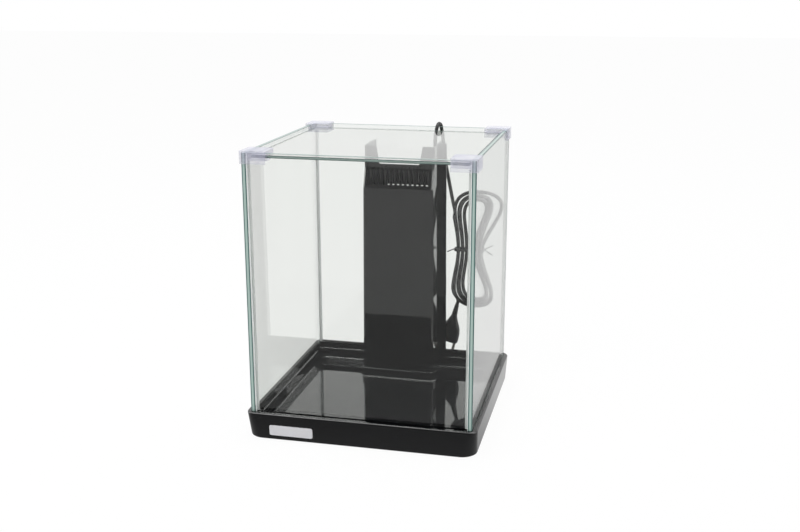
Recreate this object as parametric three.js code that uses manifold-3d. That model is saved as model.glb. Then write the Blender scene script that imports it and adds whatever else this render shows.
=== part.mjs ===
// A small desktop aquarium: a square glass tank on a moulded black base tray, a loose cover glass in
// four corner clips, and a black filter column on the rear pane. The column holds the media basket,
// a pump and a slim submersible heater, whose joined mains lead leaves over the rear pane and hangs
// behind the tank as a tied hank with its two-pin plug.
// Millimetres, +Z up, front towards -Y, origin in the middle of the base's footprint on the ground.
import * as THREE from "three";
import { mergeVertices } from "three/addons/utils/BufferGeometryUtils.js";
import Module from "manifold-3d";

const wasm = await Module();
wasm.setup();

// ---------- driving dimensions ----------
const FIT = 0.3; // gap between pieces that seat on each other
const OVER = 1; // how far a cutting body runs past the face it opens

// glass box
const TANK_WIDTH = 250; // outside, and the same in depth
const PANE = 5; // pane thickness
const GLASS_RISE = 290.5; // glass above the tray's rim
const GROOVE_DEPTH = 7; // how deep the panes stand in the tray
const SEAM_LEG = 3.5; // silicone fillet in each inner corner
const SEAM_SHORT = 9; // seam ends this far below the glass top, under the clips

// base tray
const BASE_HEIGHT = 31;
const OVERHANG = 5.5; // tray beyond the glass at its rim
const BASE_DRAFT = 1.3; // how much narrower each side is at the bottom
const BASE_CORNER = 12; // at the rim
const FOOT_CORNER = 18; // at the lower edge
const RIM_ROUND = 2;
const EDGE_ROUND = 1.2; // along the lower edge
const DISH_DEPTH = 20.3; // floor below the rim
const DISH_STEP = 7.3; // moulded step below the rim
const STEP_LEDGE = 2;
const FLOOR_INSET = 3.6; // floor edge inside the panes' inner faces
const FLOOR_ROUND = 2.2;
const DISH_CORNER = 8;
const TRAY_WALL = 3;
const RIB = 2.4;
const FOOT_RADIUS = 8;
const FOOT_THICK = 2.4;
const FOOT_PROUD = 0.8; // pad below the tray's lower edge
const FOOT_INSET = 20; // pad centre inside the glass line
const BADGE_WIDTH = 50;
const BADGE_HEIGHT = 12;
const BADGE_THICK = 0.9;
const BADGE_CORNER = 2;
const BADGE_SIDE = 47.8; // glass's left side to the plate's middle
const BADGE_CENTRE_Z = 12.3;

// cover glass and corner clips
const COVER_THICK = 3;
const COVER_SIDE_GAP = 3.5; // cover edge to the panes' inner faces
const COVER_REAR_GAP = 11; // opening for the lead and for feeding
const COVER_DROP = 3; // cover's top below the panes' top edges
const CLIP_LEG = 27; // clip reach along each pane
const CLIP_SKIN = 1.8;
const CLIP_PLATE = 2;
const CLIP_SKIRT = 11.5; // outer flange below the pane top
const CLIP_LEDGE = 2.3;
const CLIP_LEDGE_WIDTH = 9;

// filter column
const COLUMN_WIDTH = 90; // at the foot
const COLUMN_TAPER = 2; // narrower on each side at the top
const COLUMN_DEPTH = 55.6;
const COLUMN_WALL = 2.5;
const COLUMN_ROUND = 2.5;
const COLUMN_BACK_GAP = 2.4; // open back to the rear pane
const PLINTH_HEIGHT = 11.3;
const PLINTH_MARGIN = 2.4; // plinth beyond the column
const PLINTH_ROUND = 6;
const COLUMN_DROP = 20; // column's top below the glass
const COMB_DROP = 24.5; // top of the leaning comb face below the column's top
const COMB_HEIGHT = 23.5;
const COMB_LEAN = 7; // the comb face leans back by this much
const NOTCH_DEPTH = 19.7;
const NOTCH_WIDTH = 50;
const NOTCH_SPREAD = 4; // each side of the notch opens by this much
const SLOT_COUNT = 13;
const SLOT_SIDE = 9.6; // column's side to the middle of the outermost slot
const SLOT_WIDTH = 3.2;
const SLOT_MARGIN = 2.2; // plain strip above the slots
const SLOT_SILL = 4.4; // and below them
const COMB_RECESS = 0.8;
const COMB_BORDER = 3.4;
const BAFFLE_THICK = 1.8;
const BAFFLE_GAP = 3.9; // opening under the baffle, above the plain face's top
const FLANGE_WIDTH = 6;
const FLANGE_THICK = 2.2;
const BOND_WIDTH = 3.4;

// pump
const PUMP_SIDE_GAP = 5.5; // column's inner side to the pump
const PUMP_HEATER_GAP = 5.5;
const PUMP_FRONT_GAP = 2; // column's inner face to the pump
const PUMP_DEPTH = 29.5;
const PUMP_LIFT = 7; // pump above the plinth, on its suction cups
const PUMP_HEIGHT = 38;
const CHAMBER_RADIUS = 17.5;
const CHAMBER_DEPTH = 13;
const CHAMBER_WALL = 3;
const ROTOR_RADIUS = 8;
const ROTOR_GAP = 1;
const WELL_WALL = 3.5;
const WHEEL_RADIUS = 12.5;
const WHEEL_DEPTH = 7.5;
const BLADE_COUNT = 6;
const BLADE_THICK = 1.6;
const HUB_RADIUS = 4;
const SHAFT_RADIUS = 1;
const SHAFT_PLAY = 0.3;
const BUSH_THICK = 3;
const BUSH_RADIUS = 3.2;
const STATOR_WALL = 5; // between the rotor's well and the stator
const STATOR_MARGIN = 2.5;
const INTAKE_THICK = 3;
const INTAKE_SLOTS = 8;
const GATE_THICK = 1.5;
const GATE_WIDTH = 9;
const GATE_HEIGHT = 12;
const SPOUT_RADIUS = 6;
const SPOUT_WALL = 2;
const SPOUT_RISE = 14; // spout above the chamber
const CUP_RADIUS = 8;
const CUP_STEM = 2.5;

// riser and outlet
const RISER_WALL = 1.5;
const OUTLET_DROP = 55.5; // outlet's middle below the column's top
const ELBOW_DROP = 10; // riser ends this far below the outlet's middle
const ELBOW_RADIUS = 8.5;
const BRANCH_RADIUS = 7;
const BRANCH_WALL = 2;
const NOZZLE_REACH = 9; // nozzle beyond the column's side
const NOZZLE_FLANGE = 8.8;

// media
const BASKET_FRONT_GAP = 1; // basket clear of the leaning face's inside
const BASKET_LEFT_GAP = 0.7; // elbow to the basket
const BASKET_RIGHT_GAP = 1.5; // basket to the heater's cap
const BASKET_DEPTH = 44.5;
const BASKET_HEIGHT = 155;
const BASKET_WALL = 1.5;
const BASKET_FLOOR = 2;
const HANDLE_RISE = 16;
const HANDLE_WIDTH = 8;
const FINE_THICK = 36;
const BIO_THICK = 44;
const COARSE_THICK = 62;

// submersible heater
const HEATER_SIDE = 13; // column's inner side to the heater's axis
const HEATER_BACK = 28; // rear pane's inner face to the heater's axis
const HEATER_FOOT = 34;
const HEATER_BELOW = 60; // top of the heater's tube below the junction
const HEATER_RADIUS = 9;
const HEATER_GLASS = 1.2;
const CORE_RADIUS = 5;
const CORE_LENGTH = 84;
const STRIP_LENGTH = 36;
const CAP_HEIGHT = 24;
const CAP_RADIUS = 10;
const CAP_SEAT = 6; // how far the cap's plug enters the tube
const DIAL_RADIUS = 4.5;
const DIAL_HEIGHT = 7;
const DIAL_RIDGES = 10;
const BRACKET_HEIGHT = 150;
const BRACKET_BAND = 10;
const BRACKET_WALL = 1.5;
const BRACKET_ARM = 8;
const HOLDER_CUP = 6.5;

// mains lead
const LEAD = 4.5; // diameter
const SHORT_LEAD = 3.8; // the two internal leads
const LANE_GAP = 0.5; // pump lead to the heater's suction cup
const LANE_SHIFT = 2.5; // pump lead behind the junction's middle
const JUNCTION_SHIFT = 4.5; // junction's middle to the right of the heater's axis
const JUNCTION_BACK = 9; // rear pane's inner face to the junction's middle
const JUNCTION_DROP = 51.5; // junction's foot below the column's top
const JUNCTION_HEIGHT = 26;
const JUNCTION_WIDTH = 12;
const JUNCTION_DEPTH = 15;
const GLAND_HEIGHT = 9;
const GLAND_SHIFT = 1.5; // gland to the right of the junction's middle

// hank of the lead behind the tank
const HANK_SHIFT = 40.5; // waist centre to the right of the gland
const HANK_STANDOFF = 11; // rear pane to the first layer
const HANK_Z = 163.5;
const HANK_HALF = 64.6; // innermost loop, waist to fold
const HANK_PITCH = 5.5; // from run to run
const HANK_LAYER = 5.3;
const HANK_LOOPS = 4.2;
const HANK_WAIST = 2.9; // innermost run beside the waist's centre
const HANK_BULGE = 24; // how far the innermost loop opens
const HANK_SPREAD = 7.5; // each loop further out opens by this much more
const HANK_LEAN = 8; // loops sit to the right of the waist
const HANK_LOOSE = 9; // the last loop hangs loose on its upper right
const HANK_START = 150; // degrees
const HANK_STEPS = 24; // per loop
const HANK_SIDES = 6;
const TIE_WIDTH = 3.2;
const TIE_THICK = 1.2;
const TIE_TAIL = 12;

// two-pin plug
const PLUG_TILT = 13.5; // degrees from hanging straight
const PLUG_SHIFT = 15; // lead enters here, to the left of the waist's centre
const PLUG_DROP = 74.5; // and below it
const PLUG_LENGTH = 52;
const PLUG_NECK = 3.6; // half width at the lead
const PLUG_HALF = 13.2; // half width at the pin face
const PLUG_THICK = 13.4;
const PLUG_BEVEL = 1.6;
const PIN_RADIUS = 2;
const PIN_LENGTH = 19;
const PIN_PITCH = 19;

// ---------- derived places ----------
const HALF = TANK_WIDTH / 2;
const INNER = HALF - PANE;
const RIM = BASE_HEIGHT;
const FLOOR = RIM - DISH_DEPTH;
const GLASS_TOP = RIM + GLASS_RISE;
const COVER_TOP = GLASS_TOP - COVER_DROP;
const COVER_UNDER = COVER_TOP - COVER_THICK;
const COLUMN_BACK = INNER - COLUMN_BACK_GAP;
const COLUMN_FRONT = COLUMN_BACK - COLUMN_DEPTH;
const PLINTH_TOP = FLOOR + PLINTH_HEIGHT;
const COLUMN_FOOT = PLINTH_TOP + FIT;
const COLUMN_TOP = GLASS_TOP - COLUMN_DROP;
const COMB_TOP = COLUMN_TOP - COMB_DROP;
const FACE_TOP = COMB_TOP - COMB_HEIGHT;
const COLUMN_INSIDE = COLUMN_WIDTH / 2 - COLUMN_WALL;
const BASKET_FRONT = COLUMN_FRONT + COMB_LEAN + COLUMN_WALL + BASKET_FRONT_GAP;
const SLOT_PITCH = (COLUMN_WIDTH - 2 * SLOT_SIDE) / (SLOT_COUNT - 1);
const HEATER_X = COLUMN_INSIDE - HEATER_SIDE;
const HEATER_Y = INNER - HEATER_BACK;
const JUNCTION_X = HEATER_X + JUNCTION_SHIFT;
const JUNCTION_Y = INNER - JUNCTION_BACK;
const JUNCTION_FOOT = COLUMN_TOP - JUNCTION_DROP;
const GLAND_X = JUNCTION_X + GLAND_SHIFT;
const OUTLET_HEIGHT = COLUMN_TOP - OUTLET_DROP;
const HANK_X = GLAND_X + HANK_SHIFT;
const HANK_Y = HALF + HANK_STANDOFF;
const PLUG_X = HANK_X - PLUG_SHIFT;
const PLUG_Y = HANK_Y + HANK_LAYER - FIT;
const PLUG_Z = HANK_Z - PLUG_DROP;

// half width of the column at height z
function columnHalf(z) {
  return COLUMN_WIDTH / 2 - (COLUMN_TAPER * (z - COLUMN_FOOT)) / (COLUMN_TOP - COLUMN_FOOT);
}

// ---------- materials ----------
const paint = (color, roughness, metalness = 0) =>
  new THREE.MeshStandardMaterial({ color, roughness, metalness });
const clear = (color, opacity) =>
  new THREE.MeshStandardMaterial({ color, roughness: 0.05, transparent: true, opacity });
const GLOSS_BLACK = paint(0x1c1d1f, 0.12);
const SATIN_BLACK = paint(0x26272a, 0.35);
const RUBBER = paint(0x1a1a1a, 0.7);
const CABLE = paint(0x141414, 0.45);
const GLASS = clear(0xdff0ec, 0.3);
const CLIP_CLEAR = clear(0xe2e2f2, 0.6);
const SILICONE = clear(0xeef2f2, 0.6);
const SILVER = paint(0xd8d8dc, 0.3, 0.6);
const GREY = paint(0x7d8083, 0.45);
const POTTING = paint(0x30343a, 0.3);
const FERRITE = paint(0x3a3a3c, 0.5, 0.3);
const CERAMIC = paint(0xe8e4dc, 0.5);
const FOAM = paint(0x2b3d52, 0.95);
const FLOSS = paint(0xe9ebec, 0.95);
const MEDIA = paint(0xb9a184, 0.9);
const BIMETAL = paint(0xb89a62, 0.35, 0.9);
const DIAL_RED = paint(0xb3372b, 0.4);
const NICKEL = paint(0xc9c7c2, 0.25, 1);

// ---------- shape helpers ----------
function solidOf(geometry) {
  const bare = geometry.clone();
  bare.deleteAttribute("normal");
  bare.deleteAttribute("uv");
  const merged = mergeVertices(bare, 1e-4);
  const made = { numProp: 3 };
  made.vertProperties = merged.attributes.position.array;
  made.triVerts = new Uint32Array(merged.index.array);
  return new wasm.Manifold(new wasm.Mesh(made));
}

function geometryOf(solid) {
  const mesh = solid.getMesh();
  const places = new Float32Array(mesh.vertProperties);
  const geometry = new THREE.BufferGeometry();
  geometry.setAttribute("position", new THREE.BufferAttribute(places, 3));
  geometry.setIndex(new THREE.BufferAttribute(new Uint32Array(mesh.triVerts), 1));
  geometry.computeVertexNormals();
  return geometry;
}

const join = (first, ...rest) => rest.reduce((sum, next) => sum.add(next), first);
const cut = (first, ...rest) => rest.reduce((left, next) => left.subtract(next), first);

function block(x0, x1, y0, y1, z0, z1) {
  const geometry = new THREE.BoxGeometry(x1 - x0, y1 - y0, z1 - z0);
  return solidOf(geometry.translate((x0 + x1) / 2, (y0 + y1) / 2, (z0 + z1) / 2));
}

// upright round bar, or one lying along X or Y
function bar(radius, x, y, z0, z1, sides = 24) {
  const geometry = new THREE.CylinderGeometry(radius, radius, z1 - z0, sides);
  return solidOf(geometry.rotateX(Math.PI / 2).translate(x, y, (z0 + z1) / 2));
}

function barAlongY(radius, x, z, y0, y1, sides = 24) {
  const geometry = new THREE.CylinderGeometry(radius, radius, y1 - y0, sides);
  return solidOf(geometry.translate(x, (y0 + y1) / 2, z));
}

function barAlongX(radius, y, z, x0, x1, sides = 24) {
  const geometry = new THREE.CylinderGeometry(radius, radius, x1 - x0, sides);
  return solidOf(geometry.rotateZ(Math.PI / 2).translate((x0 + x1) / 2, y, z));
}

// turned piece: profile of [radius, height] pairs from bottom to top, closed on the axis
function turned(profile, sides = 24) {
  const points = profile.map(([r, h]) => new THREE.Vector2(r, h));
  return new THREE.LatheGeometry(points, sides).rotateX(Math.PI / 2);
}

// plan outline of a rectangle with its front and rear corners rounded, anticlockwise
function ring(cx, cy, hx, hy, frontRound, rearRound, z, steps = 4) {
  const corners = [
    [cx + hx, cy + hy, rearRound, 0],
    [cx - hx, cy + hy, rearRound, 90],
    [cx - hx, cy - hy, frontRound, 180],
    [cx + hx, cy - hy, frontRound, 270],
  ];
  const points = [];
  for (const [x, y, r, from] of corners) {
    const sx = Math.sign(x - cx);
    const sy = Math.sign(y - cy);
    for (let i = 0; i <= steps; i++) {
      const a = THREE.MathUtils.degToRad(from + (90 * i) / steps);
      const px = x - sx * r + r * Math.cos(a);
      points.push(new THREE.Vector3(px, y - sy * r + r * Math.sin(a), z));
    }
  }
  return points;
}

// closed body through a stack of outlines with equal counts of points
function loft(rings) {
  const count = rings[0].length;
  const positions = rings.flat().flatMap((p) => [p.x, p.y, p.z]);
  const index = [];
  for (let s = 0; s + 1 < rings.length; s++)
    for (let i = 0; i < count; i++) {
      const a = s * count + i;
      const b = s * count + ((i + 1) % count);
      index.push(a, b, b + count, a, b + count, a + count);
    }
  const flat = rings[0].map((p) => new THREE.Vector2(p.x, p.y));
  const last = (rings.length - 1) * count;
  for (const [a, b, c] of THREE.ShapeUtils.triangulateShape(flat, [])) {
    index.push(a, c, b);
    index.push(last + a, last + b, last + c);
  }
  const geometry = new THREE.BufferGeometry();
  geometry.setAttribute("position", new THREE.Float32BufferAttribute(positions, 3));
  geometry.setIndex(index);
  return geometry;
}

const squareRing = (half, round, z, steps) => ring(0, 0, half, half, round, round, z, steps);

// flat piece: an outline drawn in a plane, given a thickness along +Z
function plate(outline, thickness, holes = []) {
  const shape = new THREE.Shape(outline);
  shape.holes = holes.map((hole) => new THREE.Path(hole));
  return new THREE.ExtrudeGeometry(shape, { depth: thickness, bevelEnabled: false });
}

function roundedOutline(width, height, round, steps = 4) {
  return ring(0, 0, width / 2, height / 2, round, round, 0, steps).map(
    (p) => new THREE.Vector2(p.x, p.y),
  );
}

function tube(curve, diameter, sides, steps) {
  const circle = new THREE.Shape();
  for (let i = 0; i < sides; i++) {
    const a = (2 * Math.PI * i) / sides;
    const x = (diameter / 2) * Math.cos(a);
    const y = (diameter / 2) * Math.sin(a);
    if (i) circle.lineTo(x, y);
    else circle.moveTo(x, y);
  }
  return new THREE.ExtrudeGeometry(circle, { steps, extrudePath: curve, bevelEnabled: false });
}

const through = (points) =>
  new THREE.CatmullRomCurve3(points.map((p) => new THREE.Vector3(...p)), false, "centripetal");

const part = new THREE.Group();

function piece(name, shape, material, group = part) {
  const geometry = shape.isBufferGeometry ? shape : geometryOf(shape);
  const mesh = new THREE.Mesh(geometry, material);
  mesh.name = name;
  group.add(mesh);
  return mesh;
}

const SIDES = [
  ["left", -1],
  ["right", 1],
];
const ENDS = [
  ["front", -1],
  ["rear", 1],
];

// ---------- base tray ----------
function baseTray() {
  const bottom = HALF + OVERHANG - BASE_DRAFT;
  const shoulder = HALF + OVERHANG;
  const steps = 6;
  const outer = [
    squareRing(bottom - EDGE_ROUND, FOOT_CORNER - EDGE_ROUND, FOOT_PROUD, steps),
    squareRing(bottom, FOOT_CORNER, FOOT_PROUD + EDGE_ROUND, steps),
  ];
  for (const degrees of [0, 30, 60, 90]) {
    const a = THREE.MathUtils.degToRad(degrees);
    const inset = RIM_ROUND * (1 - Math.cos(a));
    const z = RIM - RIM_ROUND * (1 - Math.sin(a));
    outer.push(squareRing(shoulder - inset, BASE_CORNER - inset, z, steps));
  }
  const lip = INNER - FIT;
  const stepZ = RIM - DISH_STEP;
  const floorHalf = INNER - FLOOR_INSET;
  const dish = [
    squareRing(floorHalf - FLOOR_ROUND, DISH_CORNER, FLOOR),
    squareRing(floorHalf, DISH_CORNER, FLOOR + FLOOR_ROUND),
    squareRing(lip - STEP_LEDGE, DISH_CORNER, stepZ - STEP_LEDGE / 2),
    squareRing(lip - STEP_LEDGE / 3, DISH_CORNER / 2, stepZ),
    squareRing(lip - FIT, PANE / 2, RIM + OVER),
  ];
  const groove = cut(
    solidOf(
      loft([squareRing(HALF + FIT, FIT, RIM - GROOVE_DEPTH), squareRing(HALF + FIT, FIT, RIM + OVER)]),
    ),
    solidOf(loft([squareRing(lip, PANE / 2, 0), squareRing(lip, PANE / 2, GLASS_TOP)])),
  );
  const pocketHalf = bottom - TRAY_WALL;
  const pocket = solidOf(
    loft([
      squareRing(pocketHalf, FOOT_CORNER - TRAY_WALL, -OVER),
      squareRing(pocketHalf, FOOT_CORNER - TRAY_WALL, FLOOR - TRAY_WALL),
    ]),
  );
  const ribs = [
    block(-pocketHalf, pocketHalf, -RIB / 2, RIB / 2, FOOT_PROUD, FLOOR - TRAY_WALL + RIB),
    block(-RIB / 2, RIB / 2, -pocketHalf, pocketHalf, FOOT_PROUD, FLOOR - TRAY_WALL + RIB),
  ];
  const plinthHalf = COLUMN_WIDTH / 2 + PLINTH_MARGIN;
  const plinthFront = COLUMN_FRONT - PLINTH_MARGIN;
  const plinthBack = INNER - FLOOR_INSET;
  const middle = (plinthFront + plinthBack) / 2;
  const reach = (plinthBack - plinthFront) / 2;
  const plinthRing = (grow, z) =>
    ring(0, middle, plinthHalf + grow, reach + grow, PLINTH_ROUND + grow, PLINTH_ROUND + grow, z);
  const plinth = solidOf(
    loft([
      plinthRing(FLOOR_ROUND, FLOOR - RIB),
      plinthRing(FLOOR_ROUND, FLOOR),
      plinthRing(0, FLOOR + FLOOR_ROUND),
      plinthRing(0, PLINTH_TOP - FLOOR_ROUND / 2),
      plinthRing(-FLOOR_ROUND / 2, PLINTH_TOP),
    ]),
  );
  const plinthCore = solidOf(
    loft([
      plinthRing(-TRAY_WALL, -OVER),
      plinthRing(-TRAY_WALL, PLINTH_TOP - TRAY_WALL),
    ]),
  );
  let tray = cut(solidOf(loft(outer)), solidOf(loft(dish)), groove);
  tray = cut(join(tray, plinth), pocket, plinthCore);
  tray = join(tray, ...ribs);
  const bossFrom = HALF - FOOT_INSET;
  for (const [, sx] of SIDES)
    for (const [, sy] of ENDS) {
      const x = sx * bossFrom;
      const y = sy * bossFrom;
      tray = join(tray, bar(FOOT_RADIUS + TRAY_WALL, x, y, FOOT_PROUD, FLOOR - TRAY_WALL + RIB));
      tray = cut(tray, bar(FOOT_RADIUS + FIT, x, y, -OVER, FOOT_THICK + FIT));
    }
  return tray;
}
piece("base_tray", baseTray(), GLOSS_BLACK);

for (const [endName, sy] of ENDS)
  for (const [sideName, sx] of SIDES) {
    const pad = turned([
      [0, 0],
      [FOOT_RADIUS - FIT, 0],
      [FOOT_RADIUS, FIT],
      [FOOT_RADIUS, FOOT_THICK],
      [0, FOOT_THICK],
    ]);
    const foot = piece("foot_pad_" + endName + "_" + sideName, pad, RUBBER);
    foot.position.set(sx * (HALF - FOOT_INSET), sy * (HALF - FOOT_INSET), 0);
  }

// bare badge plate, lying on the drafted front wall
{
  const outline = roundedOutline(BADGE_WIDTH, BADGE_HEIGHT, BADGE_CORNER, 3);
  const badge = piece("badge_plate", plate(outline, BADGE_THICK), SILVER);
  const slope = Math.atan2(BASE_DRAFT, RIM - RIM_ROUND - EDGE_ROUND - FOOT_PROUD);
  const low = HALF + OVERHANG - BASE_DRAFT;
  const face = low + (BADGE_CENTRE_Z - FOOT_PROUD - EDGE_ROUND) * Math.tan(slope);
  badge.rotation.set(Math.PI / 2 + slope, 0, 0);
  badge.position.set(BADGE_SIDE - HALF, -(face + FIT), BADGE_CENTRE_Z);
}

// ---------- glass ----------
const PANE_FOOT = RIM - GROOVE_DEPTH + FIT;
for (const [name, s] of ENDS)
  piece(
    name + "_pane",
    block(FIT - INNER, INNER - FIT, s > 0 ? INNER : -HALF, s > 0 ? HALF : -INNER, PANE_FOOT, GLASS_TOP),
    GLASS,
  );
for (const [name, s] of SIDES)
  piece(
    name + "_pane",
    block(s > 0 ? INNER : -HALF, s > 0 ? HALF : -INNER, -HALF, HALF, PANE_FOOT, GLASS_TOP),
    GLASS,
  );

// concave silicone fillet in each upright inner corner
function seamShape() {
  const shape = new THREE.Shape();
  shape.moveTo(FIT, FIT);
  shape.lineTo(SEAM_LEG, FIT);
  shape.absarc(SEAM_LEG, SEAM_LEG, SEAM_LEG - FIT, -Math.PI / 2, -Math.PI, true);
  const depth = GLASS_TOP - SEAM_SHORT - RIM - FIT;
  return new THREE.ExtrudeGeometry(shape, { depth, bevelEnabled: false, curveSegments: 4 });
}
const SEAM_TURN = { front_left: 0, front_right: 1, rear_right: 2, rear_left: 3 };
for (const [name, quarter] of Object.entries(SEAM_TURN)) {
  const seam = piece("corner_seam_" + name, seamShape(), SILICONE);
  const sx = name.endsWith("left") ? -1 : 1;
  const sy = name.startsWith("front") ? -1 : 1;
  seam.rotation.z = (quarter * Math.PI) / 2;
  seam.position.set(sx * INNER, sy * INNER, RIM + FIT);
}

// ---------- cover ----------
const COVER_HALF = INNER - COVER_SIDE_GAP;
piece(
  "cover_glass",
  block(-COVER_HALF, COVER_HALF, -COVER_HALF, INNER - COVER_REAR_GAP, COVER_UNDER, COVER_TOP),
  GLASS,
);

// one clip for the corner at +X, +Y; the others are its mirror images
function clipSolid() {
  const inner = HALF - CLIP_LEG;
  const skinIn = HALF + FIT;
  const skinOut = skinIn + CLIP_SKIN;
  const wallOut = INNER - FIT;
  const wallIn = COVER_HALF + FIT;
  const plateZ = GLASS_TOP + FIT;
  const ledgeTop = COVER_UNDER - FIT;
  const ledgeZ = ledgeTop - CLIP_LEDGE;
  const edge = wallIn - CLIP_LEDGE_WIDTH;
  const middle = (inner + skinOut) / 2;
  const reach = (skinOut - inner) / 2;
  const plateRing = (z) => ring(middle, middle, reach, reach, CLIP_SKIN, CLIP_SKIN, z);
  const top = solidOf(loft([plateRing(plateZ), plateRing(plateZ + CLIP_PLATE)]));
  const press = block(inner, wallOut, inner, wallOut, COVER_TOP + FIT, plateZ + CLIP_PLATE / 2);
  const wall = cut(
    block(inner, wallOut, inner, wallOut, ledgeZ, plateZ + CLIP_PLATE / 2),
    block(inner - OVER, wallIn, inner - OVER, wallIn, ledgeZ - OVER, plateZ),
  );
  const ledge = cut(
    block(inner, wallOut, inner, wallOut, ledgeZ, ledgeTop),
    block(inner - OVER, edge, inner - OVER, edge, ledgeZ - OVER, ledgeTop + OVER),
  );
  const skirtZ = GLASS_TOP - CLIP_SKIRT;
  const skirt = cut(
    block(inner, skinOut, inner, skinOut, skirtZ, plateZ + CLIP_PLATE / 2),
    block(inner - OVER, skinIn, inner - OVER, skinIn, skirtZ - OVER, plateZ + CLIP_PLATE),
  );
  const opening = block(inner - OVER, wallIn, inner - OVER, wallIn, ledgeTop, COVER_TOP + FIT);
  return join(cut(join(wall, press), opening), ledge, skirt, top);
}
for (const [endName, sy] of ENDS)
  for (const [sideName, sx] of SIDES) {
    const clip = clipSolid();
    const turn = sx === sy ? 0 : 1;
    const placed = clip.rotate([0, 0, (sx > 0 ? 0 : 180) + (turn ? -90 : 0)]);
    piece("corner_clip_" + endName + "_" + sideName, placed, CLIP_CLEAR);
  }

// ---------- filter column ----------
// outline of the column at height z, drawn in by a wall where the inside is meant
function columnRing(z, front, wall, back) {
  const hx = columnHalf(z) - wall;
  const y0 = front + wall;
  const y1 = back;
  return ring(0, (y0 + y1) / 2, hx, (y1 - y0) / 2, Math.max(COLUMN_ROUND - wall, FIT), FIT, z, 3);
}

function columnStack(wall, back, from, to) {
  const leant = COLUMN_FRONT + COMB_LEAN;
  return solidOf(
    loft([
      columnRing(from, COLUMN_FRONT, wall, back),
      columnRing(FACE_TOP, COLUMN_FRONT, wall, back),
      columnRing(COMB_TOP, leant, wall, back),
      columnRing(to, leant, wall, back),
    ]),
  );
}

function columnCasing() {
  const shell = cut(
    columnStack(0, COLUMN_BACK, COLUMN_FOOT, COLUMN_TOP),
    columnStack(COLUMN_WALL, COLUMN_BACK + OVER, COLUMN_FOOT - OVER, COLUMN_TOP + OVER),
  );
  const flanges = SIDES.map(([, s]) =>
    solidOf(
      loft(
        [COLUMN_FOOT, COLUMN_TOP - COLUMN_WALL].map((z) => {
          const out = columnHalf(z) + FLANGE_WIDTH;
          const into = columnHalf(z) - COLUMN_WALL / 2;
          const centre = (s * (out + into)) / 2;
          const y = COLUMN_BACK - FLANGE_THICK / 2;
          return ring(centre, y, (out - into) / 2, FLANGE_THICK / 2, FIT, FIT, z, 1);
        }),
      ),
    ),
  );
  // comb face: a shallow recess between two raised borders, with upright slots through it
  const rise = COMB_TOP - FACE_TOP;
  const lean = Math.atan2(COMB_LEAN, rise);
  const faceLength = Math.hypot(rise, COMB_LEAN);
  const slotLength = faceLength - SLOT_MARGIN - SLOT_SILL;
  const onFace = (geometry, depth) =>
    solidOf(
      geometry
        .rotateX(Math.PI / 2)
        .translate(0, depth, 0)
        .rotateX(-lean)
        .translate(0, COLUMN_FRONT + COMB_LEAN / 2, (FACE_TOP + COMB_TOP) / 2),
    );
  const fieldWidth = 2 * (columnHalf(COMB_TOP) - COMB_BORDER);
  const field = plate(roundedOutline(fieldWidth, faceLength - SLOT_MARGIN, FIT, 1), 4 * COMB_RECESS);
  const slots = [];
  for (let i = 0; i < SLOT_COUNT; i++) {
    const outline = roundedOutline(SLOT_WIDTH, slotLength, SLOT_WIDTH / 2 - FIT / 4, 3);
    const slot = plate(outline, 4 * COLUMN_WALL);
    slot.translate((i - (SLOT_COUNT - 1) / 2) * SLOT_PITCH, (SLOT_SILL - SLOT_MARGIN) / 2, 0);
    slots.push(onFace(slot, 2 * COLUMN_WALL));
  }
  const notchFloor = COLUMN_TOP - NOTCH_DEPTH;
  const notchHalf = NOTCH_WIDTH / 2;
  const notchTop = notchHalf + NOTCH_SPREAD;
  const notch = plate(
    [
      new THREE.Vector2(-notchHalf, notchFloor),
      new THREE.Vector2(notchHalf, notchFloor),
      new THREE.Vector2(notchTop, COLUMN_TOP + OVER),
      new THREE.Vector2(-notchTop, COLUMN_TOP + OVER),
    ],
    4 * COLUMN_WALL,
  );
  const notchY = COLUMN_FRONT + COMB_LEAN + 3 * COLUMN_WALL;
  // plate behind the slots that turns the water down onto the media
  const baffleHalf = columnHalf(COMB_TOP) - COLUMN_WALL / 2;
  const baffleBack = BASKET_FRONT - FIT;
  const baffle = block(
    -baffleHalf,
    baffleHalf,
    baffleBack - BAFFLE_THICK,
    baffleBack,
    FACE_TOP + BAFFLE_GAP,
    COMB_TOP + COLUMN_WALL / 2,
  );
  const outletHole = barAlongX(BRANCH_RADIUS + FIT, OUTLET_Y, OUTLET_HEIGHT, -COLUMN_WIDTH, 0);
  const openings = [onFace(field, COMB_RECESS), ...slots];
  openings.push(solidOf(notch.rotateX(Math.PI / 2).translate(0, notchY, 0)), outletHole);
  return join(cut(join(shell, ...flanges), ...openings), baffle);
}

// ---------- pump ----------
const CUP_FOOT = PLINTH_TOP + FIT;
const PUMP_FRONT = COLUMN_FRONT + COLUMN_WALL + PUMP_FRONT_GAP;
const PUMP_FOOT = PLINTH_TOP + PUMP_LIFT;
const PUMP_TOP = PUMP_FOOT + PUMP_HEIGHT;
const PUMP_LEFT = PUMP_SIDE_GAP - COLUMN_INSIDE;
const PUMP_RIGHT = HEATER_X - HEATER_RADIUS - PUMP_HEATER_GAP;
const PUMP_BACK = PUMP_FRONT + PUMP_DEPTH;
const AXIS_X = PUMP_LEFT + CHAMBER_RADIUS;
const AXIS_Z = PUMP_FOOT + PUMP_HEIGHT / 2;
const CHAMBER_BACK = PUMP_BACK + CHAMBER_DEPTH;
const SPOUT_X = AXIS_X - CHAMBER_RADIUS + SPOUT_RADIUS + FIT;
const OUTLET_Y = PUMP_BACK + CHAMBER_DEPTH / 2;
const SPOUT_TOP = AXIS_Z + CHAMBER_RADIUS + SPOUT_RISE;
const WELL_RADIUS = ROTOR_RADIUS + ROTOR_GAP;
const WELL_FRONT = PUMP_FRONT + WELL_WALL;
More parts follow.
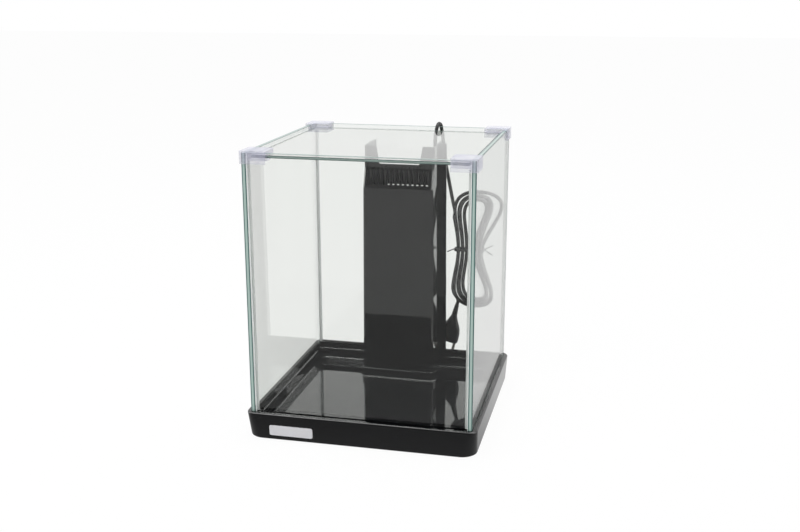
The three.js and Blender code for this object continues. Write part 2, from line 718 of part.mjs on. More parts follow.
const STATOR_LEFT = AXIS_X + WELL_RADIUS + STATOR_WALL;
const STATOR_RIGHT = PUMP_RIGHT - STATOR_MARGIN;
const STATOR_TOP = PUMP_TOP - STATOR_MARGIN;

piece("column_casing", columnCasing(), GLOSS_BLACK);
for (const [name, s] of SIDES) {
  const inside = COLUMN_WIDTH / 2 + FIT;
  const x0 = s > 0 ? inside : -inside - BOND_WIDTH;
  const strip = block(
    x0,
    x0 + BOND_WIDTH,
    COLUMN_BACK + FIT,
    INNER - FIT,
    RIM + FIT,
    COLUMN_TOP - FLANGE_WIDTH,
  );
  piece("column_bond_" + name, strip, SILICONE);
}

function pumpHousing() {
  const middle = (PUMP_LEFT + PUMP_RIGHT) / 2;
  const reach = PUMP_DEPTH / 2;
  const body = solidOf(
    loft(
      [PUMP_FOOT, PUMP_TOP].map((z) =>
        ring(middle, PUMP_BACK - reach, PUMP_RIGHT - middle, reach, COLUMN_ROUND, FIT, z),
      ),
    ),
  );
  const chamber = barAlongY(CHAMBER_RADIUS, AXIS_X, AXIS_Z, PUMP_BACK - CHAMBER_WALL, CHAMBER_BACK, 32);
  const spout = bar(SPOUT_RADIUS, SPOUT_X, OUTLET_Y, AXIS_Z, SPOUT_TOP);
  const well = barAlongY(WELL_RADIUS, AXIS_X, AXIS_Z, WELL_FRONT, CHAMBER_BACK + OVER);
  const roomRadius = CHAMBER_RADIUS - CHAMBER_WALL;
  const room = barAlongY(roomRadius, AXIS_X, AXIS_Z, PUMP_BACK + FIT, CHAMBER_BACK + OVER, 32);
  const bore = bar(SPOUT_RADIUS - SPOUT_WALL, SPOUT_X, OUTLET_Y, AXIS_Z, SPOUT_TOP + OVER);
  const pot = block(
    STATOR_LEFT,
    STATOR_RIGHT,
    PUMP_FRONT + STATOR_MARGIN,
    PUMP_BACK - STATOR_MARGIN,
    PUMP_FOOT - OVER,
    STATOR_TOP,
  );
  return cut(join(body, chamber, spout), well, room, bore, pot);
}
piece("pump_housing", pumpHousing(), SATIN_BLACK);
piece(
  "pump_stator",
  block(
    STATOR_LEFT + FIT,
    STATOR_RIGHT - FIT,
    PUMP_FRONT + STATOR_MARGIN + FIT,
    PUMP_BACK - STATOR_MARGIN - FIT,
    PUMP_FOOT,
    STATOR_TOP - FIT,
  ),
  POTTING,
);

const BUSH_FRONT = WELL_FRONT + FIT;
const BORE = SHAFT_RADIUS + SHAFT_PLAY;
const COVER_FACE = CHAMBER_BACK + FIT;
const INTAKE_BACK = COVER_FACE + INTAKE_THICK;
const SHAFT_BACK = INTAKE_BACK - FIT;
piece(
  "shaft_bush_front",
  cut(
    barAlongY(WELL_RADIUS - FIT, AXIS_X, AXIS_Z, BUSH_FRONT, BUSH_FRONT + BUSH_THICK),
    barAlongY(BORE, AXIS_X, AXIS_Z, PUMP_FRONT, PUMP_BACK, 12),
  ),
  RUBBER,
);
piece(
  "impeller_shaft",
  barAlongY(SHAFT_RADIUS, AXIS_X, AXIS_Z, BUSH_FRONT, SHAFT_BACK, 12),
  CERAMIC,
);
const MAGNET_FRONT = BUSH_FRONT + BUSH_THICK + FIT;
const WHEEL_BACK = COVER_FACE - ROTOR_GAP;
const WHEEL_FRONT = WHEEL_BACK - WHEEL_DEPTH;
piece(
  "rotor_magnet",
  cut(
    barAlongY(ROTOR_RADIUS, AXIS_X, AXIS_Z, MAGNET_FRONT, WHEEL_FRONT - FIT),
    barAlongY(BORE, AXIS_X, AXIS_Z, PUMP_FRONT, CHAMBER_BACK, 12),
  ),
  FERRITE,
);

function impellerWheel() {
  let wheel = barAlongY(HUB_RADIUS, 0, 0, WHEEL_FRONT, WHEEL_BACK);
  for (let i = 0; i < BLADE_COUNT; i++) {
    const blade = block(0, WHEEL_RADIUS, -BLADE_THICK / 2, BLADE_THICK / 2, WHEEL_FRONT, WHEEL_BACK);
    const upright = blade.rotate([-90, 0, 0]);
    const level = upright.translate([0, WHEEL_FRONT - upright.boundingBox().min[1], 0]);
    wheel = wheel.add(level.rotate([0, (360 * i) / BLADE_COUNT, 0]));
  }
  wheel = wheel.subtract(barAlongY(BORE, 0, 0, WHEEL_FRONT - OVER, WHEEL_BACK + OVER, 12));
  return wheel.translate([AXIS_X, 0, AXIS_Z]);
}
piece("impeller_wheel", impellerWheel(), GREY);

function intakeCover() {
  let cover = barAlongY(CHAMBER_RADIUS, 0, 0, COVER_FACE, INTAKE_BACK, 32);
  for (let i = 0; i < INTAKE_SLOTS; i++) {
    const slot = block(
      BUSH_RADIUS + 2 * FIT + BLADE_THICK,
      CHAMBER_RADIUS - CHAMBER_WALL - BLADE_THICK,
      COVER_FACE - OVER,
      INTAKE_BACK + OVER,
      -BLADE_THICK,
      BLADE_THICK,
    );
    cover = cover.subtract(slot.rotate([0, (360 * (i + 0.5)) / INTAKE_SLOTS, 0]));
  }
  cover = cover.subtract(barAlongY(BUSH_RADIUS + FIT, 0, 0, COVER_FACE - OVER, INTAKE_BACK + OVER));
  return cover.translate([AXIS_X, 0, AXIS_Z]);
}
piece("pump_intake_cover", intakeCover(), SATIN_BLACK);
piece(
  "shaft_bush_rear",
  cut(
    barAlongY(BUSH_RADIUS, AXIS_X, AXIS_Z, COVER_FACE, INTAKE_BACK),
    barAlongY(BORE, AXIS_X, AXIS_Z, PUMP_BACK, COLUMN_BACK, 12),
  ),
  RUBBER,
);
const GATE_FRONT = INTAKE_BACK + FIT;
piece(
  "flow_gate",
  join(
    block(AXIS_X - GATE_WIDTH / 2, AXIS_X + GATE_WIDTH / 2, GATE_FRONT, GATE_FRONT + GATE_THICK,
      AXIS_Z - GATE_HEIGHT, AXIS_Z),
    block(AXIS_X - GATE_THICK, AXIS_X + GATE_THICK, GATE_FRONT, GATE_FRONT + 2 * GATE_THICK,
      AXIS_Z - GATE_THICK, AXIS_Z),
  ),
  GREY,
);

// suction cup: a thin bell with a stem, standing on its wide lip
function suctionCup(radius, height) {
  return turned([
    [0, height / 3],
    [radius * 0.6, height / 5],
    [radius - FIT, 0],
    [radius, FIT],
    [radius * 0.7, height / 3],
    [CUP_STEM, height / 2],
    [CUP_STEM, height],
    [0, height],
  ]);
}
const CUP_HEIGHT = PUMP_LIFT - 2 * FIT;
for (const [name, x] of [
  ["left", PUMP_LEFT + CUP_RADIUS + OVER],
  ["right", STATOR_LEFT - CUP_STEM - STATOR_MARGIN - FIT],
]) {
  const cup = piece("pump_suction_cup_" + name, suctionCup(CUP_RADIUS, CUP_HEIGHT), RUBBER);
  cup.position.set(x, (PUMP_FRONT + PUMP_BACK) / 2, CUP_FOOT);
}

// ---------- riser and outlet ----------
const RISER_IN = SPOUT_RADIUS + FIT;
const RISER_OUT = RISER_IN + RISER_WALL;
const RISER_TOP = OUTLET_HEIGHT - ELBOW_DROP;
piece(
  "riser_tube",
  cut(
    bar(RISER_OUT, SPOUT_X, OUTLET_Y, PUMP_TOP + OVER, RISER_TOP),
    bar(RISER_IN, SPOUT_X, OUTLET_Y, 0, GLASS_TOP),
  ),
  GREY,
);
const BRANCH_END = -columnHalf(OUTLET_HEIGHT);
const BRANCH_BORE = BRANCH_RADIUS - BRANCH_WALL;
function outletElbow() {
  const spigot = bar(RISER_IN - FIT, SPOUT_X, OUTLET_Y, RISER_TOP - BRANCH_RADIUS, RISER_TOP + 2 * FIT);
  const body = bar(ELBOW_RADIUS, SPOUT_X, OUTLET_Y, RISER_TOP + FIT, OUTLET_HEIGHT + ELBOW_RADIUS);
  const branch = barAlongX(BRANCH_RADIUS, OUTLET_Y, OUTLET_HEIGHT, BRANCH_END, SPOUT_X);
  const upright = bar(RISER_IN - FIT - RISER_WALL, SPOUT_X, OUTLET_Y, 0, OUTLET_HEIGHT + BRANCH_BORE);
  const across = barAlongX(BRANCH_BORE, OUTLET_Y, OUTLET_HEIGHT, -COLUMN_WIDTH, SPOUT_X);
  return cut(join(spigot, body, branch), upright, across);
}
piece("outlet_elbow", outletElbow(), SATIN_BLACK);

function outletNozzle() {
  const from = BRANCH_END - FIT;
  const out = BRANCH_END - NOZZLE_REACH;
  const flange = barAlongX(NOZZLE_FLANGE, 0, 0, from - BRANCH_WALL, from);
  const spigot = barAlongX(BRANCH_BORE - FIT, 0, 0, from - BRANCH_WALL, from + BRANCH_RADIUS);
  const hood = new THREE.SphereGeometry(BRANCH_RADIUS, 20, 12);
  hood.scale((from - out) / BRANCH_RADIUS, 1, 1).translate(from, 0, 0);
  const hoodSolid = solidOf(hood).intersect(block(out - OVER, from - OVER, -ELBOW_RADIUS, ELBOW_RADIUS,
    -ELBOW_RADIUS, ELBOW_RADIUS));
  const boreRadius = BRANCH_BORE - FIT - BRANCH_WALL / 2;
  const bore = barAlongX(boreRadius, 0, 0, from - 2 * BRANCH_WALL, from + ELBOW_RADIUS);
  const mouth = block(out + BRANCH_WALL, from - BRANCH_WALL - OVER, -BRANCH_WALL - OVER, BRANCH_WALL + OVER,
    -ELBOW_RADIUS - OVER, 0);
  return cut(join(flange, spigot, hoodSolid), bore, mouth).translate([0, OUTLET_Y, OUTLET_HEIGHT]);
}
piece("outlet_nozzle", outletNozzle(), GLOSS_BLACK);

// ---------- media ----------
const BASKET_FOOT = PUMP_TOP + FIT;
const BASKET_LEFT = SPOUT_X + ELBOW_RADIUS + BASKET_LEFT_GAP;
const BASKET_RIGHT = HEATER_X - CAP_RADIUS - BASKET_RIGHT_GAP;
const BASKET_BACK = BASKET_FRONT + BASKET_DEPTH;
const BASKET_TOP = BASKET_FOOT + BASKET_HEIGHT;
function mediaBasket() {
  const outer = block(BASKET_LEFT, BASKET_RIGHT, BASKET_FRONT, BASKET_BACK, BASKET_FOOT, BASKET_TOP);
  const inner = block(
    BASKET_LEFT + BASKET_WALL,
    BASKET_RIGHT - BASKET_WALL,
    BASKET_FRONT + BASKET_WALL,
    BASKET_BACK - BASKET_WALL,
    BASKET_FOOT + BASKET_FLOOR,
    BASKET_TOP + OVER,
  );
  const slots = [];
  const count = 5;
  const pitch = (BASKET_RIGHT - BASKET_LEFT - 4 * BASKET_WALL) / count;
  for (let i = 0; i < count; i++) {
    const x = BASKET_LEFT + 2 * BASKET_WALL + (i + 0.5) * pitch;
    slots.push(
      block(x - pitch / 4, x + pitch / 4, BASKET_FRONT + 3 * BASKET_WALL, BASKET_BACK - 3 * BASKET_WALL,
        BASKET_FOOT - OVER, BASKET_FOOT + BASKET_FLOOR + OVER),
    );
  }
  const middle = (BASKET_FRONT + BASKET_BACK) / 2;
  const strap = [middle - HANDLE_WIDTH / 2, middle + HANDLE_WIDTH / 2];
  const handleTop = BASKET_TOP + HANDLE_RISE;
  const handle = cut(
    block(BASKET_LEFT, BASKET_RIGHT, ...strap, BASKET_TOP - OVER, handleTop),
    block(BASKET_LEFT + BASKET_WALL, BASKET_RIGHT - BASKET_WALL, strap[0] - OVER, strap[1] + OVER,
      BASKET_TOP - 2 * OVER, handleTop - BASKET_WALL),
  );
  return join(cut(outer, inner, ...slots), handle);
}
piece("media_basket", mediaBasket(), SATIN_BLACK);
let layerFoot = BASKET_FOOT + BASKET_FLOOR + FIT;
for (const [name, thick, material] of [
  ["fine_sponge", FINE_THICK, FLOSS],
  ["bio_media", BIO_THICK, MEDIA],
  ["coarse_sponge", COARSE_THICK, FOAM],
]) {
  const inset = BASKET_WALL + FIT;
  piece(
    name,
    block(BASKET_LEFT + inset, BASKET_RIGHT - inset, BASKET_FRONT + inset, BASKET_BACK - inset,
      layerFoot, layerFoot + thick),
    material,
  );
  layerFoot += thick + FIT;
}

// ---------- submersible heater ----------
const HEATER_TOP = JUNCTION_FOOT - HEATER_BELOW;
const CAP_FOOT = HEATER_TOP + FIT;
const CAP_TOP = CAP_FOOT + CAP_HEIGHT;
const TUBE_BORE = HEATER_RADIUS - HEATER_GLASS;
const heater = new THREE.Group();
heater.position.set(HEATER_X, HEATER_Y, 0);
part.add(heater);

// round-ended glass tube, open at the top
function heaterTube() {
  const profile = [];
  const steps = 5;
  for (let i = 0; i <= steps; i++) {
    const a = (Math.PI / 2) * (i / steps);
    profile.push([HEATER_RADIUS * Math.sin(a), HEATER_FOOT + HEATER_RADIUS * (1 - Math.cos(a))]);
  }
  profile.push([HEATER_RADIUS, HEATER_TOP], [TUBE_BORE, HEATER_TOP]);
  for (let i = steps; i >= 0; i--) {
    const a = (Math.PI / 2) * (i / steps);
    profile.push([TUBE_BORE * Math.sin(a), HEATER_FOOT + HEATER_RADIUS - TUBE_BORE * Math.cos(a)]);
  }
  return turned(profile);
}
piece("heater_tube", heaterTube(), clear(0xf2f6f6, 0.35), heater);

const CORE_TOP = HEATER_TOP - CAP_SEAT - FIT;
const CORE_FOOT = CORE_TOP - CORE_LENGTH;
const STRIP_THICK = 1.2;
const STRIP_GAP = CORE_RADIUS + FIT;
// ceramic former with its winding grooves
function heaterCore() {
  const turns = 12;
  const profile = [[0, CORE_FOOT]];
  const pitch = (CORE_LENGTH - 2 * CORE_RADIUS) / turns;
  profile.push([CORE_RADIUS, CORE_FOOT], [CORE_RADIUS, CORE_FOOT + CORE_RADIUS]);
  for (let i = 0; i < turns; i++) {
    const z = CORE_FOOT + CORE_RADIUS + i * pitch;
    profile.push([CORE_RADIUS - HEATER_GLASS / 2, z + pitch / 3], [CORE_RADIUS, z + (2 * pitch) / 3]);
  }
  profile.push([CORE_RADIUS, CORE_TOP], [0, CORE_TOP]);
  return turned(profile, 16);
}
piece("heater_core", heaterCore(), CERAMIC, heater);
const strip = new THREE.BoxGeometry(2 * CORE_RADIUS * 0.6, STRIP_THICK, STRIP_LENGTH);
piece("thermostat_strip", strip, BIMETAL, heater).position.set(
  0,
  -(STRIP_GAP + STRIP_THICK / 2),
  CORE_TOP - STRIP_LENGTH / 2,
);

const DIAL_Y = -DIAL_RADIUS;
const EXIT_Y = DIAL_RADIUS + OVER;
function heaterCap() {
  const body = solidOf(
    turned([
      [0, CAP_FOOT - CAP_SEAT],
      [TUBE_BORE - FIT, CAP_FOOT - CAP_SEAT],
      [TUBE_BORE - FIT, CAP_FOOT],
      [CAP_RADIUS, CAP_FOOT],
      [CAP_RADIUS, CAP_TOP - 2 * OVER],
      [CAP_RADIUS - 2 * OVER, CAP_TOP],
      [0, CAP_TOP],
    ]),
  );
  const socket = bar(SHAFT_RADIUS + FIT, 0, DIAL_Y, CAP_TOP - DIAL_HEIGHT / 2, CAP_TOP + OVER, 12);
  return cut(body, socket);
}
piece("heater_cap", heaterCap(), SATIN_BLACK, heater);

// ridged temperature dial with a pointer and its short spindle
function thermostatDial() {
  const foot = CAP_TOP + FIT;
  let dial = bar(DIAL_RADIUS - FIT, 0, 0, foot, foot + DIAL_HEIGHT, 20);
  for (let i = 0; i < DIAL_RIDGES; i++) {
    const ridge = block(0, DIAL_RADIUS, -FIT, FIT, foot, foot + DIAL_HEIGHT - OVER);
    dial = dial.add(ridge.rotate([0, 0, (360 * i) / DIAL_RIDGES]));
  }
  const crown = foot + DIAL_HEIGHT;
  const pointer = block(-FIT, FIT, -DIAL_RADIUS + OVER, 0, crown - FIT, crown + FIT);
  const spindle = bar(SHAFT_RADIUS, 0, 0, CAP_TOP - DIAL_HEIGHT / 2 + FIT, foot + FIT, 12);
  return join(dial, pointer, spindle).translate([0, DIAL_Y, 0]);
}
piece("thermostat_dial", thermostatDial(), DIAL_RED, heater);

const HOLDER_HEIGHT = 6;
const HOLDER_FACE = INNER - FIT - HOLDER_HEIGHT - HEATER_Y;
function heaterBracket() {
  const z0 = BRACKET_HEIGHT - BRACKET_BAND / 2;
  const z1 = BRACKET_HEIGHT + BRACKET_BAND / 2;
  const out = HEATER_RADIUS + FIT + BRACKET_WALL;
  const arm = block(-BRACKET_ARM / 2, BRACKET_ARM / 2, HEATER_RADIUS, HOLDER_FACE - FIT, z0, z1);
  return cut(join(bar(out, 0, 0, z0, z1), arm), bar(HEATER_RADIUS + FIT, 0, 0, z0 - OVER, z1 + OVER));
}
piece("heater_bracket", heaterBracket(), SATIN_BLACK, heater);
const holder = piece("heater_suction_cup", suctionCup(HOLDER_CUP, HOLDER_HEIGHT), RUBBER, heater);
holder.rotation.x = Math.PI / 2;
holder.position.set(0, HOLDER_FACE + HOLDER_HEIGHT, BRACKET_HEIGHT);

// ---------- junction and leads ----------
const JUNCTION_TOP = JUNCTION_FOOT + JUNCTION_HEIGHT;
const junctionRing = (z) =>
  ring(JUNCTION_X, JUNCTION_Y, JUNCTION_WIDTH / 2, JUNCTION_DEPTH / 2, 2, 2, z, 3);
piece("junction_box", loft([junctionRing(JUNCTION_FOOT), junctionRing(JUNCTION_TOP)]), SATIN_BLACK);
const GLAND_FOOT = JUNCTION_TOP + FIT;
const GLAND_TOP = GLAND_FOOT + GLAND_HEIGHT;
const gland = turned([
  [0, 0],
  [LEAD, 0],
  [LEAD, GLAND_HEIGHT / 3],
  [LEAD * 0.75, GLAND_HEIGHT / 2],
  [LEAD * 0.62, GLAND_HEIGHT],
  [0, GLAND_HEIGHT],
]);
piece("lead_gland", gland, RUBBER).position.set(GLAND_X, JUNCTION_Y, GLAND_FOOT);

// the pump lead rises in a lane between the basket and the heater's suction cup
const LANE_X = HEATER_X - HOLDER_CUP - SHORT_LEAD / 2 - LANE_GAP;
const LANE_Y = JUNCTION_Y + LANE_SHIFT;
const PUMP_ENTRY = JUNCTION_X - JUNCTION_WIDTH / 2 + LANE_SHIFT;
const pumpLead = through([
  [STATOR_RIGHT - STATOR_MARGIN, PUMP_BACK + FIT, AXIS_Z],
  [STATOR_RIGHT - STATOR_MARGIN, PUMP_BACK + SHORT_LEAD + FIT, AXIS_Z],
  [PUMP_RIGHT, LANE_Y - 6.5, PUMP_TOP - 14],
  [LANE_X - 1.6, LANE_Y - 1.5, PUMP_TOP - 5],
  [LANE_X, LANE_Y, PUMP_TOP + 9],
  [LANE_X, LANE_Y, BRACKET_HEIGHT - 40],
  [LANE_X, LANE_Y, BRACKET_HEIGHT + 20],
  [LANE_X, LANE_Y, JUNCTION_FOOT - 35],
  [LANE_X + 1.9, LANE_Y, JUNCTION_FOOT - 20],
  [PUMP_ENTRY - 2, JUNCTION_Y + 1.2, JUNCTION_FOOT - 10],
  [PUMP_ENTRY, JUNCTION_Y + 1, JUNCTION_FOOT - SHORT_LEAD],
  [PUMP_ENTRY, JUNCTION_Y + 1, JUNCTION_FOOT - FIT],
]);
piece("pump_lead", tube(pumpLead, SHORT_LEAD, 8, 34), CABLE);
const HEATER_ENTRY = JUNCTION_X + LANE_SHIFT;
const leadRise = JUNCTION_FOOT - CAP_TOP;
const heaterLead = through([
  [HEATER_X, HEATER_Y + EXIT_Y, CAP_TOP + FIT],
  [HEATER_X, HEATER_Y + EXIT_Y, CAP_TOP + SHORT_LEAD + FIT],
  [HEATER_X + 2, HEATER_Y + EXIT_Y + 1.5, CAP_TOP + 0.39 * leadRise],
  [HEATER_ENTRY - 1, JUNCTION_Y - 6, CAP_TOP + 0.66 * leadRise],
  [HEATER_ENTRY, JUNCTION_Y - 4, JUNCTION_FOOT - SHORT_LEAD],
  [HEATER_ENTRY, JUNCTION_Y - 4, JUNCTION_FOOT - FIT],
]);
piece("heater_lead", tube(heaterLead, SHORT_LEAD, 8, 12), CABLE);

// One unbroken run of loops, folded top and bottom and drawn in at a waist. The runs nest side by
// side, work inwards on the first layer, climb to the second and work outwards again.
class HankCurve extends THREE.Curve {
  getPoint(t, target = new THREE.Vector3()) {
    const loops = t * HANK_LOOPS;
    const half = (HANK_LOOPS - 0.19) / 2;
    const nest = Math.abs(half - loops);
    const climb = THREE.MathUtils.smoothstep(loops, half - 0.25, half + 0.25);
    const angle = THREE.MathUtils.degToRad(HANK_START) + 2 * Math.PI * loops;
    const side = Math.cos(angle);
    const rise = Math.sin(angle);
    const open = HANK_WAIST + HANK_PITCH * nest + (HANK_BULGE + HANK_SPREAD * nest) * rise * rise;
    const last = THREE.MathUtils.smoothstep(loops, HANK_LOOPS - 1.1, HANK_LOOPS - 0.75);
    const slack = HANK_LOOSE * last * Math.max(0, side) * Math.max(0, rise) * 2;
    return target.set(
      HANK_X + HANK_LEAN * rise * rise + side * open + slack,
      HANK_Y + HANK_LAYER * climb,
      HANK_Z + (HANK_HALF + HANK_PITCH * nest) * rise,
    );
  }
}

// least distance between two stretches of the hank that are not neighbours along it
function leastGap(curve) {
  const samples = 1400;
  const points = curve.getSpacedPoints(samples);
  const step = curve.getLength() / samples;
  const apart = Math.ceil((6 * LEAD) / step);
  let least = Infinity;
  for (let i = 0; i < points.length; i++)
    for (let j = i + apart; j < points.length; j++)
      least = Math.min(least, points[i].distanceTo(points[j]));
  return least - LEAD;
}

const hankCurve = new HankCurve();
hankCurve.arcLengthDivisions = 1200;
const hankSteps = Math.round(HANK_STEPS * HANK_LOOPS);
piece("lead_hank", tube(hankCurve, LEAD, HANK_SIDES, hankSteps), CABLE);
const along = (point, tangent, distance) => point.clone().addScaledVector(tangent, distance).toArray();
const hankIn = hankCurve.getPoint(0);
const hankInWay = hankCurve.getTangent(0);
const hankOut = hankCurve.getPoint(1);
const hankOutWay = hankCurve.getTangent(1);

// heights of the stretch that falls from the pane's edge to the hank
const fallTop = GLASS_TOP - 16.5;
const fallFoot = HANK_Z + 48.5;
const fall = (share) => fallTop - share * (fallTop - fallFoot);
const leadRun = through([
  [GLAND_X, JUNCTION_Y, GLAND_TOP + FIT],
  [GLAND_X, JUNCTION_Y, GLAND_TOP + FIT + LEAD],
  [GLAND_X + 0.1, JUNCTION_Y, GLASS_TOP - 21.5],
  [GLAND_X + 0.4, JUNCTION_Y + 0.4, GLASS_TOP - 14.5],
  [GLAND_X + 0.8, JUNCTION_Y + 1.7, GLASS_TOP - 7],
  [GLAND_X + 1.4, INNER - 4.6, GLASS_TOP - 0.3],
  [GLAND_X + 2, INNER - 1.4, GLASS_TOP + 2.5],
  [GLAND_X + 2.6, INNER + 2.5, GLASS_TOP + 3.5],
  [GLAND_X + 3.3, HALF + 1.5, GLASS_TOP + 2.5],
  [GLAND_X + 4, HALF + 4.7, GLASS_TOP - 0.3],
  [GLAND_X + 4.8, HALF + 7.2, GLASS_TOP - 7],
  [GLAND_X + 5.7, HALF + 8, fall(0)],
  [GLAND_X + 7.1, HALF + 8.2, fall(0.14)],
  [GLAND_X + 9.5, HALF + 8.4, fall(0.301)],
  [GLAND_X + 12.5, HALF + 8.8, fall(0.473)],
  [GLAND_X + 15.8, HALF + 9.4, fall(0.656)],
  [GLAND_X + 19.3, HALF + 10.2, fall(0.849)],
  [GLAND_X + 22.1, HALF + 10.8, fall(1)],
  along(hankIn, hankInWay, -LEAD - FIT),
  along(hankIn, hankInWay, -FIT),
]);
piece("lead_run", tube(leadRun, LEAD, 8, 40), CABLE);

const plugTilt = THREE.MathUtils.degToRad(PLUG_TILT);
const plugWay = new THREE.Vector3(-Math.sin(plugTilt), 0, -Math.cos(plugTilt));
const plugEntry = new THREE.Vector3(PLUG_X, PLUG_Y, PLUG_Z);
const leadTail = through([
  along(hankOut, hankOutWay, FIT),
  along(hankOut, hankOutWay, FIT + LEAD),
  [PLUG_X - 4.3, PLUG_Y + 0.3, PLUG_Z + 14.4],
  [PLUG_X - 0.7, PLUG_Y + 0.1, PLUG_Z + 9.4],
  along(plugEntry, plugWay, -LEAD - FIT),
  along(plugEntry, plugWay, -FIT),
]);
piece("lead_tail", tube(leadTail, LEAD, 8, 8), CABLE);

// twist tie round the waist with its two ends turned out
function cordTie() {
  const reach = HANK_PITCH * (HANK_LOOPS / 2) + HANK_WAIST + LEAD / 2;
  const x0 = HANK_X - reach - 3 * FIT;
  const x1 = HANK_X + reach - HANK_PITCH / 2 + 3 * FIT;
  const y0 = HANK_Y - LEAD / 2 - 2 * FIT;
  const y1 = HANK_Y + HANK_LAYER + LEAD / 2 + 2 * FIT;
  const z0 = HANK_Z - TIE_WIDTH / 2;
  const z1 = HANK_Z + TIE_WIDTH / 2;
  const band = (grow, from, to) =>
    solidOf(
      loft(
        [from, to].map((z) =>
          ring((x0 + x1) / 2, (y0 + y1) / 2, (x1 - x0) / 2 + grow, (y1 - y0) / 2 + grow, LEAD / 2 + grow,
            LEAD / 2 + grow, z, 4),
        ),
      ),
    );
  const twist = (x, y, turnZ, turnY) =>
    block(0, TIE_TAIL, -TIE_THICK / 2, TIE_THICK / 2, -TIE_THICK / 2, TIE_THICK / 2)
      .rotate([0, turnY, turnZ])
      .translate([x, y, HANK_Z]);
  return cut(
    join(
      band(TIE_THICK, z0, z1),
      twist(x0 - TIE_THICK / 2, y1 - LEAD / 2, 180, 25),
      twist(x1 + TIE_THICK / 2, y1 - LEAD / 2, 0, -30),
      twist(x1 + TIE_THICK / 2, y1 - LEAD / 2, 0, 35),
    ),
    band(0, z0 - OVER, z1 + OVER),
  );
}
piece("cord_tie", cordTie(), RUBBER);

// ---------- plug ----------
const plug = new THREE.Group();
plug.position.set(PLUG_X, PLUG_Y, PLUG_Z);
plug.rotation.y = plugTilt;
part.add(plug);

// flat two-pin plug: ribbed neck at the lead, flaring to the pin face, hanging pins down
function plugBody() {
  const neck = PLUG_LENGTH / 3;
  const shape = new THREE.Shape();
  const h = PLUG_HALF - PLUG_BEVEL;
  shape.moveTo(-h, -PLUG_LENGTH + PLUG_BEVEL);
  shape.lineTo(h, -PLUG_LENGTH + PLUG_BEVEL);
  shape.bezierCurveTo(h, -PLUG_LENGTH / 2, PLUG_NECK, -PLUG_LENGTH / 2, PLUG_NECK, -neck + PLUG_BEVEL);
  shape.lineTo(-PLUG_NECK, -neck + PLUG_BEVEL);
  shape.bezierCurveTo(-PLUG_NECK, -PLUG_LENGTH / 2, -h, -PLUG_LENGTH / 2, -h, -PLUG_LENGTH + PLUG_BEVEL);
  const settings = { depth: PLUG_THICK - 2 * PLUG_BEVEL, curveSegments: 6 };
  settings.bevelEnabled = true;
  settings.bevelSize = PLUG_BEVEL;
  settings.bevelThickness = PLUG_BEVEL;
  settings.bevelSegments = 2;
  const body = new THREE.ExtrudeGeometry(shape, settings);
  body.rotateX(Math.PI / 2).translate(0, PLUG_THICK / 2 - PLUG_BEVEL, 0);
  const ribs = 5;
  const profile = [[0, -neck - PLUG_BEVEL]];
  for (let i = ribs; i > 0; i--) {
    const r = LEAD / 2 + OVER + (i * (PLUG_NECK - LEAD / 2)) / ribs;
    const z = (-neck * i) / ribs;
    profile.push([r, z - (i === ribs ? PLUG_BEVEL : 0)], [r, z + neck / ribs / 2]);
    profile.push([r - OVER, z + neck / ribs / 2], [r - OVER, z + neck / ribs]);
  }
  profile.push([0, 0]);
  return join(solidOf(body), solidOf(turned(profile, 16)));
}
piece("plug_body", plugBody(), CABLE, plug);
for (const [name, s] of SIDES) {
  const pin = turned([
    [0, -PLUG_LENGTH - PIN_LENGTH],
    [PIN_RADIUS / 2, -PLUG_LENGTH - PIN_LENGTH],
    [PIN_RADIUS, -PLUG_LENGTH - PIN_LENGTH + PIN_RADIUS],
    [PIN_RADIUS, -PLUG_LENGTH - FIT],
    [0, -PLUG_LENGTH - FIT],
  ]);
  piece("plug_pin_" + name, pin, NICKEL, plug).position.x = (s * PIN_PITCH) / 2;
}

const leadLength = leadRun.getLength() + hankCurve.getLength() + leadTail.getLength();
console.log("least gap in the hank " + leastGap(hankCurve).toFixed(2) + " mm");
console.log("lead from gland to plug " + leadLength.toFixed(0) + " mm");

export default part;
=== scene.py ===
"""A small desktop aquarium with a filter column, dressed for its portrait.

The tank stands on a gloss black tray. A loose cover glass rests in four translucent corner clips.
The black column on the rear pane hides the pump, the media basket and the heater, and the mains
lead hangs behind the rear pane as a tied hank. Lengths are in metres, apart from the rows and
points that mm() turns into metres.
"""

import logging
import math
from collections.abc import Callable, Iterable, Sequence
from dataclasses import dataclass, field
from enum import Enum

import bmesh
import bpy
from mathutils import Matrix, Vector
from mathutils.geometry import interpolate_bezier


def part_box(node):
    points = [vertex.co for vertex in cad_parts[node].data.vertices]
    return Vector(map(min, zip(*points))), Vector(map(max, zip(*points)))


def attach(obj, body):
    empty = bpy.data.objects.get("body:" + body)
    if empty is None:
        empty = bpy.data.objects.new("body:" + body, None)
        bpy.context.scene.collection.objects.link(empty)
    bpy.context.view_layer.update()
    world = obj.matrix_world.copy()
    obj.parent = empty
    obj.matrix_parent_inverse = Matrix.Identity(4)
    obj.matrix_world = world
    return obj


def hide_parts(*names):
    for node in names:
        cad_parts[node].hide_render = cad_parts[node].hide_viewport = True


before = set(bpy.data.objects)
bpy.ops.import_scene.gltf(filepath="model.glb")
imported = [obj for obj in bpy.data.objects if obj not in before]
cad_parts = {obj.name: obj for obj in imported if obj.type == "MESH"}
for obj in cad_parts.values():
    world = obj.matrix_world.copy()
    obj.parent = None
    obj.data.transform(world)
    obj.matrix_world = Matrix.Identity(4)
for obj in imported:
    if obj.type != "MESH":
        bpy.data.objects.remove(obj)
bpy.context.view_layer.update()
LOG = logging.getLogger("aquarium")
MM = 0.001
FIT = 0.0003  # clearance between pieces that are seated in each other
SAME = 1e-6  # lengths that differ by less are the same
SQUARE = 0.99  # least share of a normal that looks straight along an axis
FLAT_TURN = 0.4  # degrees between faces that are one flat face
Point = tuple[float, float, float]
Colour = tuple[float, float, float]


